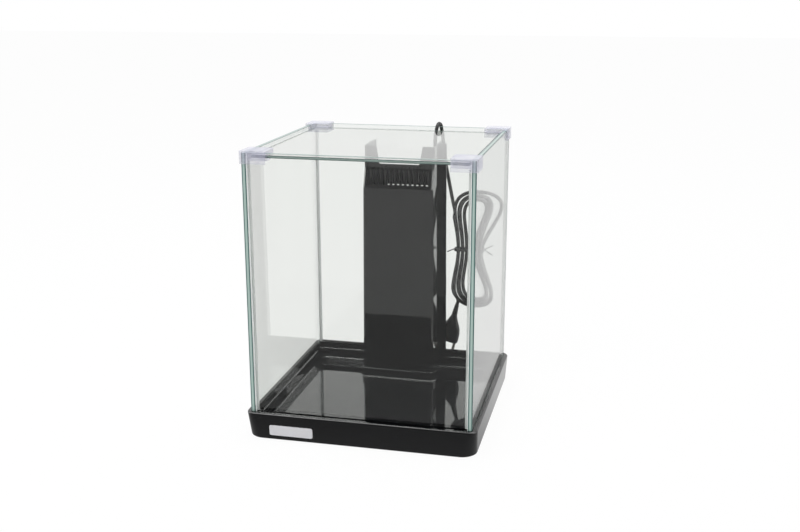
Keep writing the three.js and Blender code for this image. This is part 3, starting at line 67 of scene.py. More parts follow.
class Body(Enum):
    """The rigid groups that a piece can move with."""

    TANK = "tank"
    COVER = "cover"
    BASKET = "basket"
    ROTOR = "rotor"
    GATE = "gate"
    DIAL = "dial"
    NOZZLE = "nozzle"


class Axis(Enum):
    """A direction that a bar or a pane is set along."""

    X = 0
    Y = 1
    Z = 2


def mm(*values: float) -> tuple[float, ...]:
    """Lengths in millimetres turned into metres.

    Args:
        values: lengths in millimetres.

    Returns:
        The same lengths in metres.
    """
    return tuple(value * MM for value in values)


def eased(value: float, low: float, high: float) -> float:
    """How far a value has come from low to high, eased at both ends.

    Args:
        value: the value.
        low: where the share is 0.
        high: where the share is 1.

    Returns:
        A share from 0 to 1.
    """
    share = min(1.0, max(0.0, (value - low) / (high - low)))
    return share * share * (3 - 2 * share)


# ---------- shader maths ----------


class Wire:
    """A node's output, with Python's own operators for numbers."""

    def __init__(self, recipe: "Recipe", socket: bpy.types.NodeSocket) -> None:
        """Keeps the socket and the recipe that its node belongs to."""
        self.recipe = recipe
        self.socket = socket

    def _with(self, operation: str, first: object, second: object = None) -> "Wire":
        """Adds a Math node on two values."""
        values = {0: first} if second is None else {0: first, 1: second}
        return self.recipe.node("ShaderNodeMath", {"operation": operation}, values)

    def __add__(self, other: object) -> "Wire":
        """Sum."""
        return self._with("ADD", self, other)

    __radd__ = __add__

    def __sub__(self, other: object) -> "Wire":
        """Difference."""
        return self._with("SUBTRACT", self, other)

    def __rsub__(self, other: object) -> "Wire":
        """Difference from a number."""
        return self._with("SUBTRACT", other, self)

    def __mul__(self, other: object) -> "Wire":
        """Product."""
        return self._with("MULTIPLY", self, other)

    __rmul__ = __mul__

    def __abs__(self) -> "Wire":
        """Size without its sign."""
        return self._with("ABSOLUTE", self)

    def top(self, other: object) -> "Wire":
        """The greater of two values."""
        return self._with("MAXIMUM", self, other)


class Recipe:
    """The node tree of a material or a world, built one node at a time."""

    def __init__(self, owner: bpy.types.Material | bpy.types.World) -> None:
        """Empties the owner's node tree.

        Args:
            owner: the material or world whose nodes these are.
        """
        self.owner = owner
        self.owner.use_nodes = True
        self.tree = self.owner.node_tree
        self.tree.nodes.clear()
        self._place: bpy.types.Node | None = None

    def node(
        self,
        kind: str,
        settings: dict | None = None,
        values: dict | None = None,
        out: object = 0,
    ) -> Wire:
        """Adds one node.

        Args:
            kind: the node's type.
            settings: properties of the node, set first.
            values: numbers, colours or wires for its inputs, by name or place.
            out: the output that is wanted, by name or place.

        Returns:
            The wanted output.
        """
        made = self.tree.nodes.new(kind)
        for key, value in (settings or {}).items():
            setattr(made, key, value)
        for key, value in (values or {}).items():
            if isinstance(value, Wire):
                self.tree.links.new(value.socket, made.inputs[key])
            else:
                made.inputs[key].default_value = value
        return Wire(self, made.outputs[out] if len(made.outputs) else None)

    def place(self, out: str = "Object") -> Wire:
        """The piece's own coordinates or, in a world, the direction.

        Args:
            out: which output of Texture Coordinate is read.

        Returns:
            The coordinates.
        """
        if self._place is None:
            self._place = self.tree.nodes.new("ShaderNodeTexCoord")
        return Wire(self, self._place.outputs[out])

    def noise(self, scale: float, detail: float = 2.0, where: Wire | None = None) -> Wire:
        """A noise value between 0 and 1 over the piece."""
        values = {"Vector": where or self.place(), "Scale": scale, "Detail": detail}
        return self.node("ShaderNodeTexNoise", None, values)

    def cells(self, scale: float) -> Wire:
        """Distance to the nearest cell centre."""
        return self.node("ShaderNodeTexVoronoi", None, {"Vector": self.place(), "Scale": scale})

    def stretch(self, scale: Point) -> Wire:
        """The piece's coordinates, stretched along the axes."""
        return self.node("ShaderNodeMapping", None, {"Vector": self.place(), "Scale": scale})

    def axis(self, index: int, where: Wire | None = None) -> Wire:
        """One of the three coordinates."""
        return self.node("ShaderNodeSeparateXYZ", None, {0: where or self.place()}, out=index)

    def span(
        self, value: Wire, low: float, high: float, start: float = 0.0, end: float = 1.0
    ) -> Wire:
        """Fits a value between low and high to start and end, smoothly and clamped."""
        values = {"Value": value, "From Min": low, "From Max": high, "To Min": start, "To Max": end}
        return self.node("ShaderNodeMapRange", {"interpolation_type": "SMOOTHSTEP"}, values)

    def mixed(self, share: object, first: Colour, second: Colour) -> Wire:
        """A colour between two, by a share from 0 to 1."""
        values = {0: share, 6: (*first, 1.0), 7: (*second, 1.0)}
        return self.node("ShaderNodeMix", {"data_type": "RGBA"}, values, out=2)

    def bump(self, height: Wire, strength: float, distance: float) -> Wire:
        """A normal from a height, with the depth of the relief in metres."""
        values = {"Height": height, "Strength": strength, "Distance": distance}
        return self.node("ShaderNodeBump", None, values)

    def principled(self, **values: object) -> Wire:
        """A Principled shader; names use an underscore for a space.

        Args:
            values: numbers, colours or wires for its inputs.

        Returns:
            The shader.
        """
        named = {key.replace("_", " "): value for key, value in values.items()}
        for key in ("Base Color", "Emission Color"):
            if isinstance(named.get(key), tuple):
                named[key] = (*named[key], 1.0)
        return self.node("ShaderNodeBsdfPrincipled", None, named)

    def sights(self) -> tuple[Wire, Wire]:
        """Which way a ray comes.

        Returns:
            One where it comes from the eye or through glass, and one where it comes off a gloss.
        """
        outputs = self.node("ShaderNodeLightPath").socket.node.outputs
        kinds = ("Is Camera Ray", "Is Transmission Ray", "Is Glossy Ray")
        eye, through, gloss = (Wire(self, outputs[kind]) for kind in kinds)
        direct = eye.top(through)
        return direct, gloss * (1.0 - direct)

    def done(self, shader: Wire) -> bpy.types.Material | bpy.types.World:
        """Joins the shader to the output.

        Args:
            shader: the surface.

        Returns:
            The finished material or world.
        """
        kind = "World" if isinstance(self.owner, bpy.types.World) else "Material"
        self.node("ShaderNodeOutput" + kind, None, {"Surface": shader})
        return self.owner


# ---------- finishes ----------


@dataclass(frozen=True)
class Finish:
    """What a surface is made of. The same finish is built once."""

    name: str

    def surface(self, recipe: Recipe) -> Wire:
        """The shader, which each kind of finish gives.

        Args:
            recipe: the material's nodes.
        """
        raise NotImplementedError

    def material(self) -> bpy.types.Material:
        """The material, made at the first use.

        Returns:
            The material.
        """
        found = bpy.data.materials.get(self.name)
        if found:
            return found
        recipe = Recipe(bpy.data.materials.new(self.name))
        return recipe.done(self.surface(recipe))


@dataclass(frozen=True)
class Moulding(Finish):
    """Injection-moulded plastic, from polished to satin, with faint flow marks and fine wear."""

    colour: Colour = (0.002, 0.0022, 0.0025)
    roughness: float = 0.04
    index: float = 1.5
    grain: float = 0.0
    coat: float = 0.0
    smooth_relief: float = 0.00001
    grain_relief: float = 0.00006

    def surface(self, recipe: Recipe) -> Wire:
        """The moulded plastic.

        Args:
            recipe: the material's nodes.

        Returns:
            The shader.
        """
        flow = recipe.noise(9.0, 3.0, recipe.stretch((1.0, 1.0, 2.2)))
        dust = recipe.span(recipe.noise(420.0, 4.0), 0.62, 0.8)
        paler = tuple(min(1.0, c * 1.3 + 0.001) for c in self.colour)
        height = recipe.noise(12.0, 0.0) * 0.3
        depth = self.smooth_relief
        if self.grain:
            height = height + recipe.noise(self.grain, 2.0)
            depth = self.grain_relief
        return recipe.principled(
            Base_Color=recipe.mixed(recipe.span(flow, 0.35, 0.7) * 0.6, self.colour, paler),
            Roughness=self.roughness + flow * 0.02 + dust * 0.02,
            IOR=self.index,
            Coat_Weight=self.coat,
            Coat_Roughness=self.roughness,
            Normal=recipe.bump(height, 0.35, depth),
        )


@dataclass(frozen=True)
class ClearGlass(Finish):
    """Clear sheet or tube glass that lets lamp light through."""

    tint: Colour = (0.925, 0.93, 0.92)
    index: float = 1.36

    def surface(self, recipe: Recipe) -> Wire:
        """The glass.

        Args:
            recipe: the material's nodes.

        Returns:
            The shader.
        """
        ripple = recipe.noise(3.0, 0.0)
        greener = (self.tint[0] * 0.985, self.tint[1], self.tint[2] * 0.99)
        glass = recipe.principled(
            Base_Color=recipe.mixed(recipe.span(ripple, 0.3, 0.7), self.tint, greener),
            Roughness=0.0,
            IOR=self.index,
            Transmission_Weight=1.0,
        )
        through = recipe.node("ShaderNodeBsdfTransparent", None, {"Color": (*self.tint, 1.0)})
        shadow = recipe.node("ShaderNodeLightPath", out="Is Shadow Ray")
        return recipe.node("ShaderNodeMixShader", None, {0: shadow, 1: glass, 2: through})


@dataclass(frozen=True)
class GroundEdgeWithPaintedLight(Finish):
    """The seamed edge of sheet glass, opaque: its green is the glass's own, and the change from
    deep along both arrises to pale between is painted light standing in for light through the
    glass.
    """

    axis: Axis = Axis.Z
    middle: float = 0.0
    thick: float = 0.005
    deep: Colour = (0.085, 0.16, 0.15)
    pale: Colour = (0.40, 0.52, 0.48)
    drift: float = 0.0006

    def surface(self, recipe: Recipe) -> Wire:
        """The ground glass edge.

        Args:
            recipe: the material's nodes.

        Returns:
            The shader.
        """
        streak = recipe.noise(6.0, 2.0)
        place = abs(recipe.axis(self.axis.value))
        off = abs(place - (self.middle + streak * self.drift - self.drift / 2))
        # painted light: pale in the middle of the edge and deep green at the arrises, as light
        # through the glass would show
        shade = recipe.span(off, self.thick * 0.16, self.thick * 0.3)
        return recipe.principled(
            Base_Color=recipe.mixed(shade, self.pale, self.deep),
            Roughness=0.22 + streak * 0.12,
            IOR=1.45,
            Coat_Weight=0.4,
            Normal=recipe.bump(recipe.noise(900.0, 2.0), 0.25, 0.00005),
        )


@dataclass(frozen=True)
class FrostedClip(Finish):
    """Translucent moulded plastic with a lavender cast."""

    colour: Colour = (0.60, 0.60, 0.74)
    cover: float = 0.22
    cloudy: Colour = (0.74, 0.74, 0.83)

    def surface(self, recipe: Recipe) -> Wire:
        """The translucent plastic.

        Args:
            recipe: the material's nodes.

        Returns:
            The shader.
        """
        cloud = recipe.noise(70.0, 3.0)
        rim = recipe.node("ShaderNodeLayerWeight", None, {"Blend": 0.35}, out="Facing")
        return recipe.principled(
            Base_Color=recipe.mixed(recipe.span(cloud, 0.35, 0.65), self.colour, self.cloudy),
            Roughness=0.25 + cloud * 0.1,
            IOR=1.46,
            Alpha=self.cover + rim * 0.4,
            Normal=recipe.bump(cloud, 0.2, 0.0001),
        )


@dataclass(frozen=True)
class Silicone(Finish):
    """Cured clear sealant with a wet gloss, and a painted glow where glow is above 0."""

    colour: Colour = (0.88, 0.9, 0.9)
    clear: float = 0.5
    glow: float = 0.0
    drawn: Colour = (0.94, 0.95, 0.95)

    def surface(self, recipe: Recipe) -> Wire:
        """The sealant.

        Args:
            recipe: the material's nodes.

        Returns:
            The shader.
        """
        draw = recipe.noise(40.0, 2.0, recipe.stretch((1.0, 1.0, 0.15)))
        return recipe.principled(
            Base_Color=recipe.mixed(draw, self.colour, self.drawn),
            Roughness=0.12 + draw * 0.1,
            IOR=1.4,
            Transmission_Weight=self.clear,
            # emission here is a painted glow, not a lamp
            Emission_Color=self.colour,
            Emission_Strength=self.glow,
            Normal=recipe.bump(draw, 0.4, 0.0002),
        )


@dataclass(frozen=True)
class Rubber(Finish):
    """Matt rubber or a cord's satin sheath, with fine bloom."""

    colour: Colour = (0.014, 0.014, 0.015)
    roughness: float = 0.55

    def surface(self, recipe: Recipe) -> Wire:
        """The rubber.

        Args:
            recipe: the material's nodes.

        Returns:
            The shader.
        """
        bloom = recipe.span(recipe.noise(160.0, 4.0), 0.45, 0.75)
        paler = tuple(c * 2.0 + 0.006 for c in self.colour)
        return recipe.principled(
            Base_Color=recipe.mixed(bloom * 0.5, self.colour, paler),
            Roughness=self.roughness + bloom * 0.12,
            IOR=1.45,
            Normal=recipe.bump(recipe.noise(1500.0, 3.0), 0.3, 0.00006),
        )


@dataclass(frozen=True)
class Porous(Finish):
    """Foam, wadding or porous ceramic, by the size of its pores, with painted shade in the hollows
    between its raised cells.
    """

    colour: Colour = (0.03, 0.06, 0.12)
    pores: float = 900.0
    depth: float = 0.0006

    def surface(self, recipe: Recipe) -> Wire:
        """The porous surface.

        Args:
            recipe: the material's nodes.

        Returns:
            The shader.
        """
        pore = recipe.span(recipe.cells(self.pores), 0.15, 0.6)
        lump = recipe.noise(self.pores * 0.3, 3.0)
        dark = tuple(c * 0.25 for c in self.colour)
        return recipe.principled(
            # painted shade: the colour darkens towards the cell edges, where the bump makes hollows
            Base_Color=recipe.mixed(pore * 0.8, self.colour, dark),
            Roughness=0.85 + pore * 0.1,
            Normal=recipe.bump((1.0 - pore) + lump * 0.5, 0.8, self.depth),
        )


@dataclass(frozen=True)
class Metal(Finish):
    """Bright or brushed metal."""

    colour: Colour = (0.62, 0.61, 0.58)
    roughness: float = 0.22
    brushed: Point = (1.0, 1.0, 1.0)
    metallic: float = 1.0

    def surface(self, recipe: Recipe) -> Wire:
        """The metal.

        Args:
            recipe: the material's nodes.

        Returns:
            The shader.
        """
        lines = recipe.noise(300.0, 4.0, recipe.stretch(self.brushed))
        dull = tuple(c * 0.85 for c in self.colour)
        return recipe.principled(
            Base_Color=recipe.mixed(lines, self.colour, dull),
            Roughness=self.roughness + lines * 0.12,
            Metallic=self.metallic,
            Normal=recipe.bump(lines, 0.15, 0.00003),
        )


@dataclass(frozen=True)
class Fired(Finish):
    """Fired ceramic or sintered ferrite."""

    colour: Colour = (0.78, 0.75, 0.68)
    roughness: float = 0.6

    def surface(self, recipe: Recipe) -> Wire:
        """The fired surface.

        Args:
            recipe: the material's nodes.

        Returns:
            The shader.
        """
        speck = recipe.span(recipe.noise(900.0, 3.0), 0.6, 0.75)
        dark = tuple(c * 0.6 for c in self.colour)
        return recipe.principled(
            Base_Color=recipe.mixed(speck * 0.5, self.colour, dark),
            Roughness=self.roughness + speck * 0.1,
            Normal=recipe.bump(recipe.noise(1200.0, 3.0), 0.3, 0.00005),
        )


GLOSS_BLACK = Moulding("gloss_black_moulding")
TRAY_BLACK = Moulding("tray_black_moulding", (0.002, 0.0022, 0.0027), 0.03, 1.54, coat=0.42)
CORNER_POLISH = Moulding("corner_polish_moulding", (0.002, 0.0022, 0.0027), 0.03, 1.95)
# painted highlight: the slots' sides, which are the ribs' sides, are paler than the gloss casing,
# as if lit
COMB_PAINTED_HIGHLIGHT = Moulding("comb_rib_painted_highlight_moulding", (0.06, 0.062, 0.068), 0.36, 1.5, 900.0)
SATIN_BLACK = Moulding("satin_black_moulding", (0.02, 0.02, 0.022), 0.32, 1.45, 1400.0)
SMOKE_GREY = Moulding("grey_moulding", (0.16, 0.17, 0.18), 0.3, 1.45, 1100.0)
DIAL_RED = Moulding("red_dial_moulding", (0.42, 0.035, 0.02), 0.3, 1.46, 900.0)
RESIN = Moulding("cast_resin", (0.03, 0.034, 0.045), 0.18, 1.5)
PANE_GLASS = ClearGlass("pane_glass")
COVER_GLASS = ClearGlass("cover_sheet_glass", (0.89, 0.895, 0.88))
TUBE_GLASS = ClearGlass("heater_tube_glass", (0.93, 0.94, 0.93))
# the pane and cover edges carry painted light through the glass: deep green at the arrises, pale
# between
SIDE_EDGE = GroundEdgeWithPaintedLight("side_pane_edge", Axis.X, 0.1225)
END_EDGE = GroundEdgeWithPaintedLight("end_pane_edge", Axis.Y, 0.1225)
COVER_EDGE = GroundEdgeWithPaintedLight("cover_glass_edge", Axis.Z, 0.317, 0.003)
CLIP_PLASTIC = FrostedClip("frosted_clip_plastic")
SEALANT = Silicone("clear_silicone")
# bonded pane ends: a painted glow from emission of strength 0.3
BONDED_EDGE_GLOW = Silicone("bonded_pane_edge_painted_glow", (0.9, 0.92, 0.92), 0.3, 0.3)
BLACK_RUBBER = Rubber("black_rubber")
SHEATH = Rubber("cord_sheath", (0.011, 0.011, 0.012), 0.38)
PLUG_VINYL = Rubber("plug_vinyl", (0.012, 0.012, 0.013), 0.42)
COARSE_FOAM = Porous("coarse_blue_foam", (0.03, 0.07, 0.15), 520.0, 0.0009)
WADDING = Porous("white_wadding", (0.72, 0.73, 0.74), 1300.0, 0.0004)
BIO_STONE = Porous("porous_bio_ceramic", (0.48, 0.36, 0.25), 260.0, 0.0016)
BADGE_SILVER = Metal("silver_badge", (0.82, 0.82, 0.85), 0.36, (1.0, 12.0, 12.0), 0.2)
NICKEL = Metal("nickel_pins", (0.66, 0.64, 0.6), 0.16)
BIMETAL = Metal("bimetal_strip", (0.55, 0.42, 0.24), 0.3)
FERRITE = Fired("ferrite_magnet", (0.04, 0.04, 0.042), 0.5)
STEATITE = Fired("steatite_ceramic")


# ---------- the bench ----------


def clear_bench() -> None:
    """Leaves edit mode and deselects everything."""
    if bpy.context.mode != "OBJECT":
        bpy.ops.object.mode_set(mode="OBJECT")
    bpy.ops.object.select_all(action="DESELECT")


@dataclass(frozen=True)
class Level:
    """One height of a moulded stack: its half sizes and how far its front is pushed back."""

    z: float
    half_x: float
    half_y: float
    lean: float = 0.0


def levels_of(rows: Iterable[Sequence[float]]) -> list[Level]:
    """Levels from rows in millimetres.

    Args:
        rows: height, half width and, where the plan isn't square, half depth.

    Returns:
        The levels.
    """
    return [Level(*mm(row[0], row[1], row[-1])) for row in rows]


class Workpiece:
    """A piece on the bench, shaped with the modelling operators."""

    def __init__(self, obj: bpy.types.Object) -> None:
        """Takes the object on the bench."""
        self.obj = obj

    def hold(self) -> None:
        """Makes it the only selected and the active object."""
        clear_bench()
        self.obj.select_set(True)
        bpy.context.view_layer.objects.active = self.obj

    @classmethod
    def added(cls, name: str) -> "Workpiece":
        """Takes the primitive that was just added, with its size and place applied.

        Args:
            name: the piece's name.

        Returns:
            The piece.
        """
        obj = bpy.context.view_layer.objects.active
        obj.name = name
        obj.data.name = name
        piece = cls(obj)
        piece.hold()
        bpy.ops.object.transform_apply(location=True, rotation=True, scale=True)
        return piece

    @classmethod
    def block(cls, name: str, low: Sequence[float], high: Sequence[float]) -> "Workpiece":
        """A block between two corners.

        Args:
            name: the piece's name.
            low: its corner with the least values.
            high: its corner with the greatest values.

        Returns:
            The piece.
        """
        clear_bench()
        low, high = Vector(low), Vector(high)
        bpy.ops.mesh.primitive_cube_add(size=1.0, location=(low + high) / 2, scale=high - low)
        return cls.added(name)

    @classmethod
    def bar(
        cls,
        name: str,
        radius: float,
        start: Sequence[float],
        end: Sequence[float],
        sides: int = 48,
    ) -> "Workpiece":
        """A round bar between two points.

        Args:
            name: the piece's name.
            radius: half its thickness.
            start: the middle of one end.
            end: the middle of the other end.
            sides: faces round it.

        Returns:
            The piece.
        """
        clear_bench()
        start, end = Vector(start), Vector(end)
        turn = (end - start).to_track_quat("Z", "Y").to_euler()
        length = (end - start).length
        bpy.ops.mesh.primitive_cylinder_add(
            vertices=sides, radius=radius, depth=length, location=(start + end) / 2, rotation=turn
        )
        return cls.added(name)

    @classmethod
    def stack(
        cls,
        name: str,
        centre: tuple[float, float],
        levels: Sequence[Level],
        corner: float,
        steps: int = 10,
    ) -> "Workpiece":
        """A moulded block that grows level by level.

        Args:
            name: the piece's name.
            centre: middle of the plan.
            levels: heights with half sizes, from the bottom up.
            corner: plan corner radius at the first level.
            steps: faces round each corner.

        Returns:
            The piece.
        """
        first, second = levels[0], levels[1]
        low = (centre[0] - first.half_x, centre[1] - first.half_y, first.z)
        high = (centre[0] + first.half_x, centre[1] + first.half_y, second.z)
        piece = cls.block(name, low, high)
        piece.edit()
        if corner:
            piece.pick_edges(lambda a, b: abs(a.z - b.z) > SAME)
            bpy.ops.mesh.bevel(offset=corner, segments=steps, affect="EDGES")
        piece.pick_faces(lambda c, n: n.z > SQUARE and c.z > second.z - SAME)
        piece.fit(centre, second, first)
        for before, after in zip(levels[1:], levels[2:]):
            rise = {"value": (0, 0, after.z - before.z)}
            bpy.ops.mesh.extrude_region_move(TRANSFORM_OT_translate=rise)
            piece.fit(centre, after, before)
        piece.leave()
        return piece

    def fit(self, centre: tuple[float, float], level: Level, before: Level) -> None:
        """Resizes the selected top to its level and leans its front back.

        Args:
            centre: middle of the plan.
            level: the level that the top takes.
            before: the level that it has.
        """
        size = (level.half_x / before.half_x, level.half_y / before.half_y, 1.0)
        middle = (centre[0], centre[1], level.z)
        bpy.ops.transform.resize(value=size, center_override=middle)
        push = level.lean - before.lean
        if not push:
            return
        top = {v.index for v in bmesh.from_edit_mesh(self.obj.data).verts if v.select}
        bpy.ops.mesh.select_mode(type="VERT")
        mesh = bmesh.from_edit_mesh(self.obj.data)
        for vert in mesh.verts:
            vert.select_set(vert.index in top and vert.co.y < centre[1])
        bmesh.update_edit_mesh(self.obj.data)
        bpy.ops.transform.translate(value=(0, push, 0))
        bpy.ops.mesh.select_mode(type="FACE")
        self.pick_faces(lambda c, n: n.z > 0.5 and c.z > level.z - SAME)

    @classmethod
    def turned(
        cls, name: str, profile: Sequence[tuple[float, float]], sides: int = 48
    ) -> "Workpiece":
        """A turned piece on the Z axis.

        Args:
            name: the piece's name.
            profile: (height, radius) pairs in millimetres, from the bottom up.
            sides: faces round it.

        Returns:
            The piece.
        """
        rows = [mm(*pair) for pair in profile]
        (z0, r0), (z1, r1) = rows[0], rows[1]
        piece = cls.bar(name, r0, (0, 0, z0), (0, 0, z1), sides)
        piece.edit()
        piece.pick_faces(lambda c, n: n.z > SQUARE)
        bpy.ops.transform.resize(value=(r1 / r0, r1 / r0, 1), center_override=(0, 0, z1))
        for (za, ra), (zb, rb) in zip(rows[1:], rows[2:]):
            bpy.ops.mesh.extrude_region_move(TRANSFORM_OT_translate={"value": (0, 0, zb - za)})
            bpy.ops.transform.resize(value=(rb / ra, rb / ra, 1), center_override=(0, 0, zb))
        piece.leave()
        return piece

    @classmethod
    def from_node(cls, node: str, name: str) -> "Workpiece":
        """A merged copy of a CAD node, its flat faces made whole again.

        Args:
            node: the CAD node.
            name: the piece's name.

        Returns:
            The piece.
        """
        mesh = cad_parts[node].data.copy()
        mesh.name = name
        mesh.materials.clear()
        obj = bpy.data.objects.new(name, mesh)
        bpy.context.scene.collection.objects.link(obj)
        piece = cls(obj)
        piece.edit()
        bpy.ops.mesh.select_all(action="SELECT")
        bpy.ops.mesh.remove_doubles(threshold=2 * SAME)
        bpy.ops.mesh.dissolve_limited(angle_limit=math.radians(FLAT_TURN))
        piece.leave()
        return piece

    def edit(self) -> None:
        """Opens it in edit mode."""
        self.hold()
        bpy.ops.object.mode_set(mode="EDIT")

    def leave(self) -> None:
        """Closes edit mode."""
        bpy.ops.object.mode_set(mode="OBJECT")

    def _pick(self, kind: str, chosen: Callable[[bmesh.types.BMesh], list]) -> None:
        """Selects the chosen parts of the mesh and nothing else.

        Args:
            kind: what is selected, FACE or EDGE.
            chosen: gives the parts of the mesh.
        """
        bpy.ops.mesh.select_mode(type=kind)
        bpy.ops.mesh.select_all(action="DESELECT")
        mesh = bmesh.from_edit_mesh(self.obj.data)
        for part in chosen(mesh):
            part.select_set(True)
        bmesh.update_edit_mesh(self.obj.data)

    def pick_faces(self, test: Callable[[Vector, Vector], bool]) -> None:
        """Selects the faces whose centre and normal pass the test."""
        self._pick(
            "FACE", lambda mesh: [f for f in mesh.faces if test(f.calc_center_median(), f.normal)]
        )

    def pick_edges(self, test: Callable[[Vector, Vector], bool]) -> None:
        """Selects the edges whose two ends pass the test."""
        self._pick(
            "EDGE", lambda mesh: [e for e in mesh.edges if test(e.verts[0].co, e.verts[1].co)]
        )

    def moved(self, place: Matrix) -> "Workpiece":
        """Moves and turns it, and applies that to its mesh.

        Args:
            place: the shift and turn.

        Returns:
            The same piece.
        """
        self.hold()
        self.obj.matrix_world = place @ self.obj.matrix_world
        bpy.ops.object.transform_apply(location=True, rotation=True, scale=True)
        return self

    def copy(self, name: str, place: Matrix) -> "Workpiece":
        """A copy with its own mesh, moved and turned.

        Args:
            name: the copy's name.
            place: the copy's shift and turn.

        Returns:
            The copy.
        """
        obj = self.obj.copy()
        obj.data = self.obj.data.copy()
        obj.name = name
        bpy.context.scene.collection.objects.link(obj)
        return Workpiece(obj).moved(place)

    def modified(self, kind: str, **settings: object) -> "Workpiece":
        """Adds a modifier and applies it.

        Args:
            kind: the modifier's type.
            settings: the modifier's properties.

        Returns:
            The same piece.
        """
        self.hold()
        step = self.obj.modifiers.new("work", kind)
        for key, value in settings.items():
            setattr(step, key, value)
        bpy.ops.object.modifier_apply(modifier=step.name)
        return self

    def _boolean(self, others: Iterable["Workpiece"], operation: str) -> "Workpiece":
        """Joins or cuts with other pieces, which are used up.

        Args:
            others: the pieces, one after another.
            operation: UNION or DIFFERENCE.

        Returns:
            The same piece.
        """
        for other in others:
            self.modified("BOOLEAN", operation=operation, solver="EXACT", object=other.obj)
            bpy.data.objects.remove(other.obj)
        return self

    def cut(self, *others: "Workpiece") -> "Workpiece":
        """Takes other pieces' shapes out of this one."""
        return self._boolean(others, "DIFFERENCE")

    def weld(self, *others: "Workpiece") -> "Workpiece":
        """Makes one solid of this and other pieces."""
        return self._boolean(others, "UNION")

    def gathered(self, others: Sequence["Workpiece"]) -> "Workpiece":
        """Joins pieces that don't touch, as several shells.

        Args:
            others: the pieces that are joined to this one.

        Returns:
            The same piece.
        """
        self.hold()
        for other in others:
            other.obj.select_set(True)
        bpy.ops.object.join()
        return self

    def soften(self, width: float, steps: int = 2, angle: float = 35.0) -> "Workpiece":
        """Rounds its sharp edges.

        Args:
            width: how far each bevel reaches.
            steps: faces across a bevel.
            angle: least angle of an edge that counts as sharp, in degrees.

        Returns:
            The same piece.
        """
        limit = math.radians(angle)
        return self.modified(
            "BEVEL", limit_method="ANGLE", angle_limit=limit, width=width, segments=steps
        )

    def rounded(self, levels: int) -> "Workpiece":
        """Rounds it all over with subdivision."""
        return self.modified("SUBSURF", levels=levels, render_levels=levels)

    def dress(
        self,
        finish: Finish,
        body: Body = Body.TANK,
        slot: str = "",
        nodes: Sequence[str] = (),
        smooth: float = 38.0,
    ) -> bpy.types.Object:
        """Shades it, gives it its finish and sets it on its body.

        Args:
            finish: what it is made of.
            body: what it moves with.
            slot: the record's material slot; not used.
            nodes: CAD nodes that it stands for.
            smooth: angle up to which faces flow into each other, in degrees.

        Returns:
            The finished object.
        """
        self.hold()
        bpy.ops.object.shade_smooth_by_angle(angle=math.radians(smooth))
        self.modified("WEIGHTED_NORMAL", keep_sharp=True)
        self.obj.data.materials.clear()
        self.obj.data.materials.append(finish.material())
        return settle(self.obj, body, nodes)


def settle(
    obj: bpy.types.Object, body: Body, nodes: Sequence[str] = ()
) -> bpy.types.Object:
    """Sets a finished object on its body.

    Args:
        obj: the finished object.
        body: what it moves with.
        nodes: CAD nodes that it stands for.

    Returns:
        The same object.
    """
    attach(obj, body.value)
    if nodes:
        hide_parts(*nodes)
    LOG.info("%s rides on %s", obj.name, body.value)
    return obj


def refined(
    node: str,
    finish: Finish,
    body: Body = Body.TANK,
    slot: str = "",
    edge: float = 0.0003,
    smooth: float = 38.0,
) -> bpy.types.Object:
    """A CAD node's shape with softened edges and flowing round faces.

    Args:
        node: the CAD node.
        finish: what it is made of.
        body: what it moves with.
        slot: the record's material slot.
        edge: radius of its softened edges.
        smooth: angle up to which faces flow into each other, in degrees.

    Returns:
        The finished object.
    """
    piece = Workpiece.from_node(node, node + "_body")
    if edge:
        piece.soften(edge, 2, 40.0)
    return piece.dress(finish, body, slot, [node], smooth)


def moved_to(x: float = 0.0, y: float = 0.0, z: float = 0.0) -> Matrix:
    """A shift as a matrix."""
    return Matrix.Translation((x, y, z))


def turned_by(degrees: float, axis: str) -> Matrix:
    """A turn about an axis through the origin."""
    return Matrix.Rotation(math.radians(degrees), 4, axis)


# ---------- the studio ----------


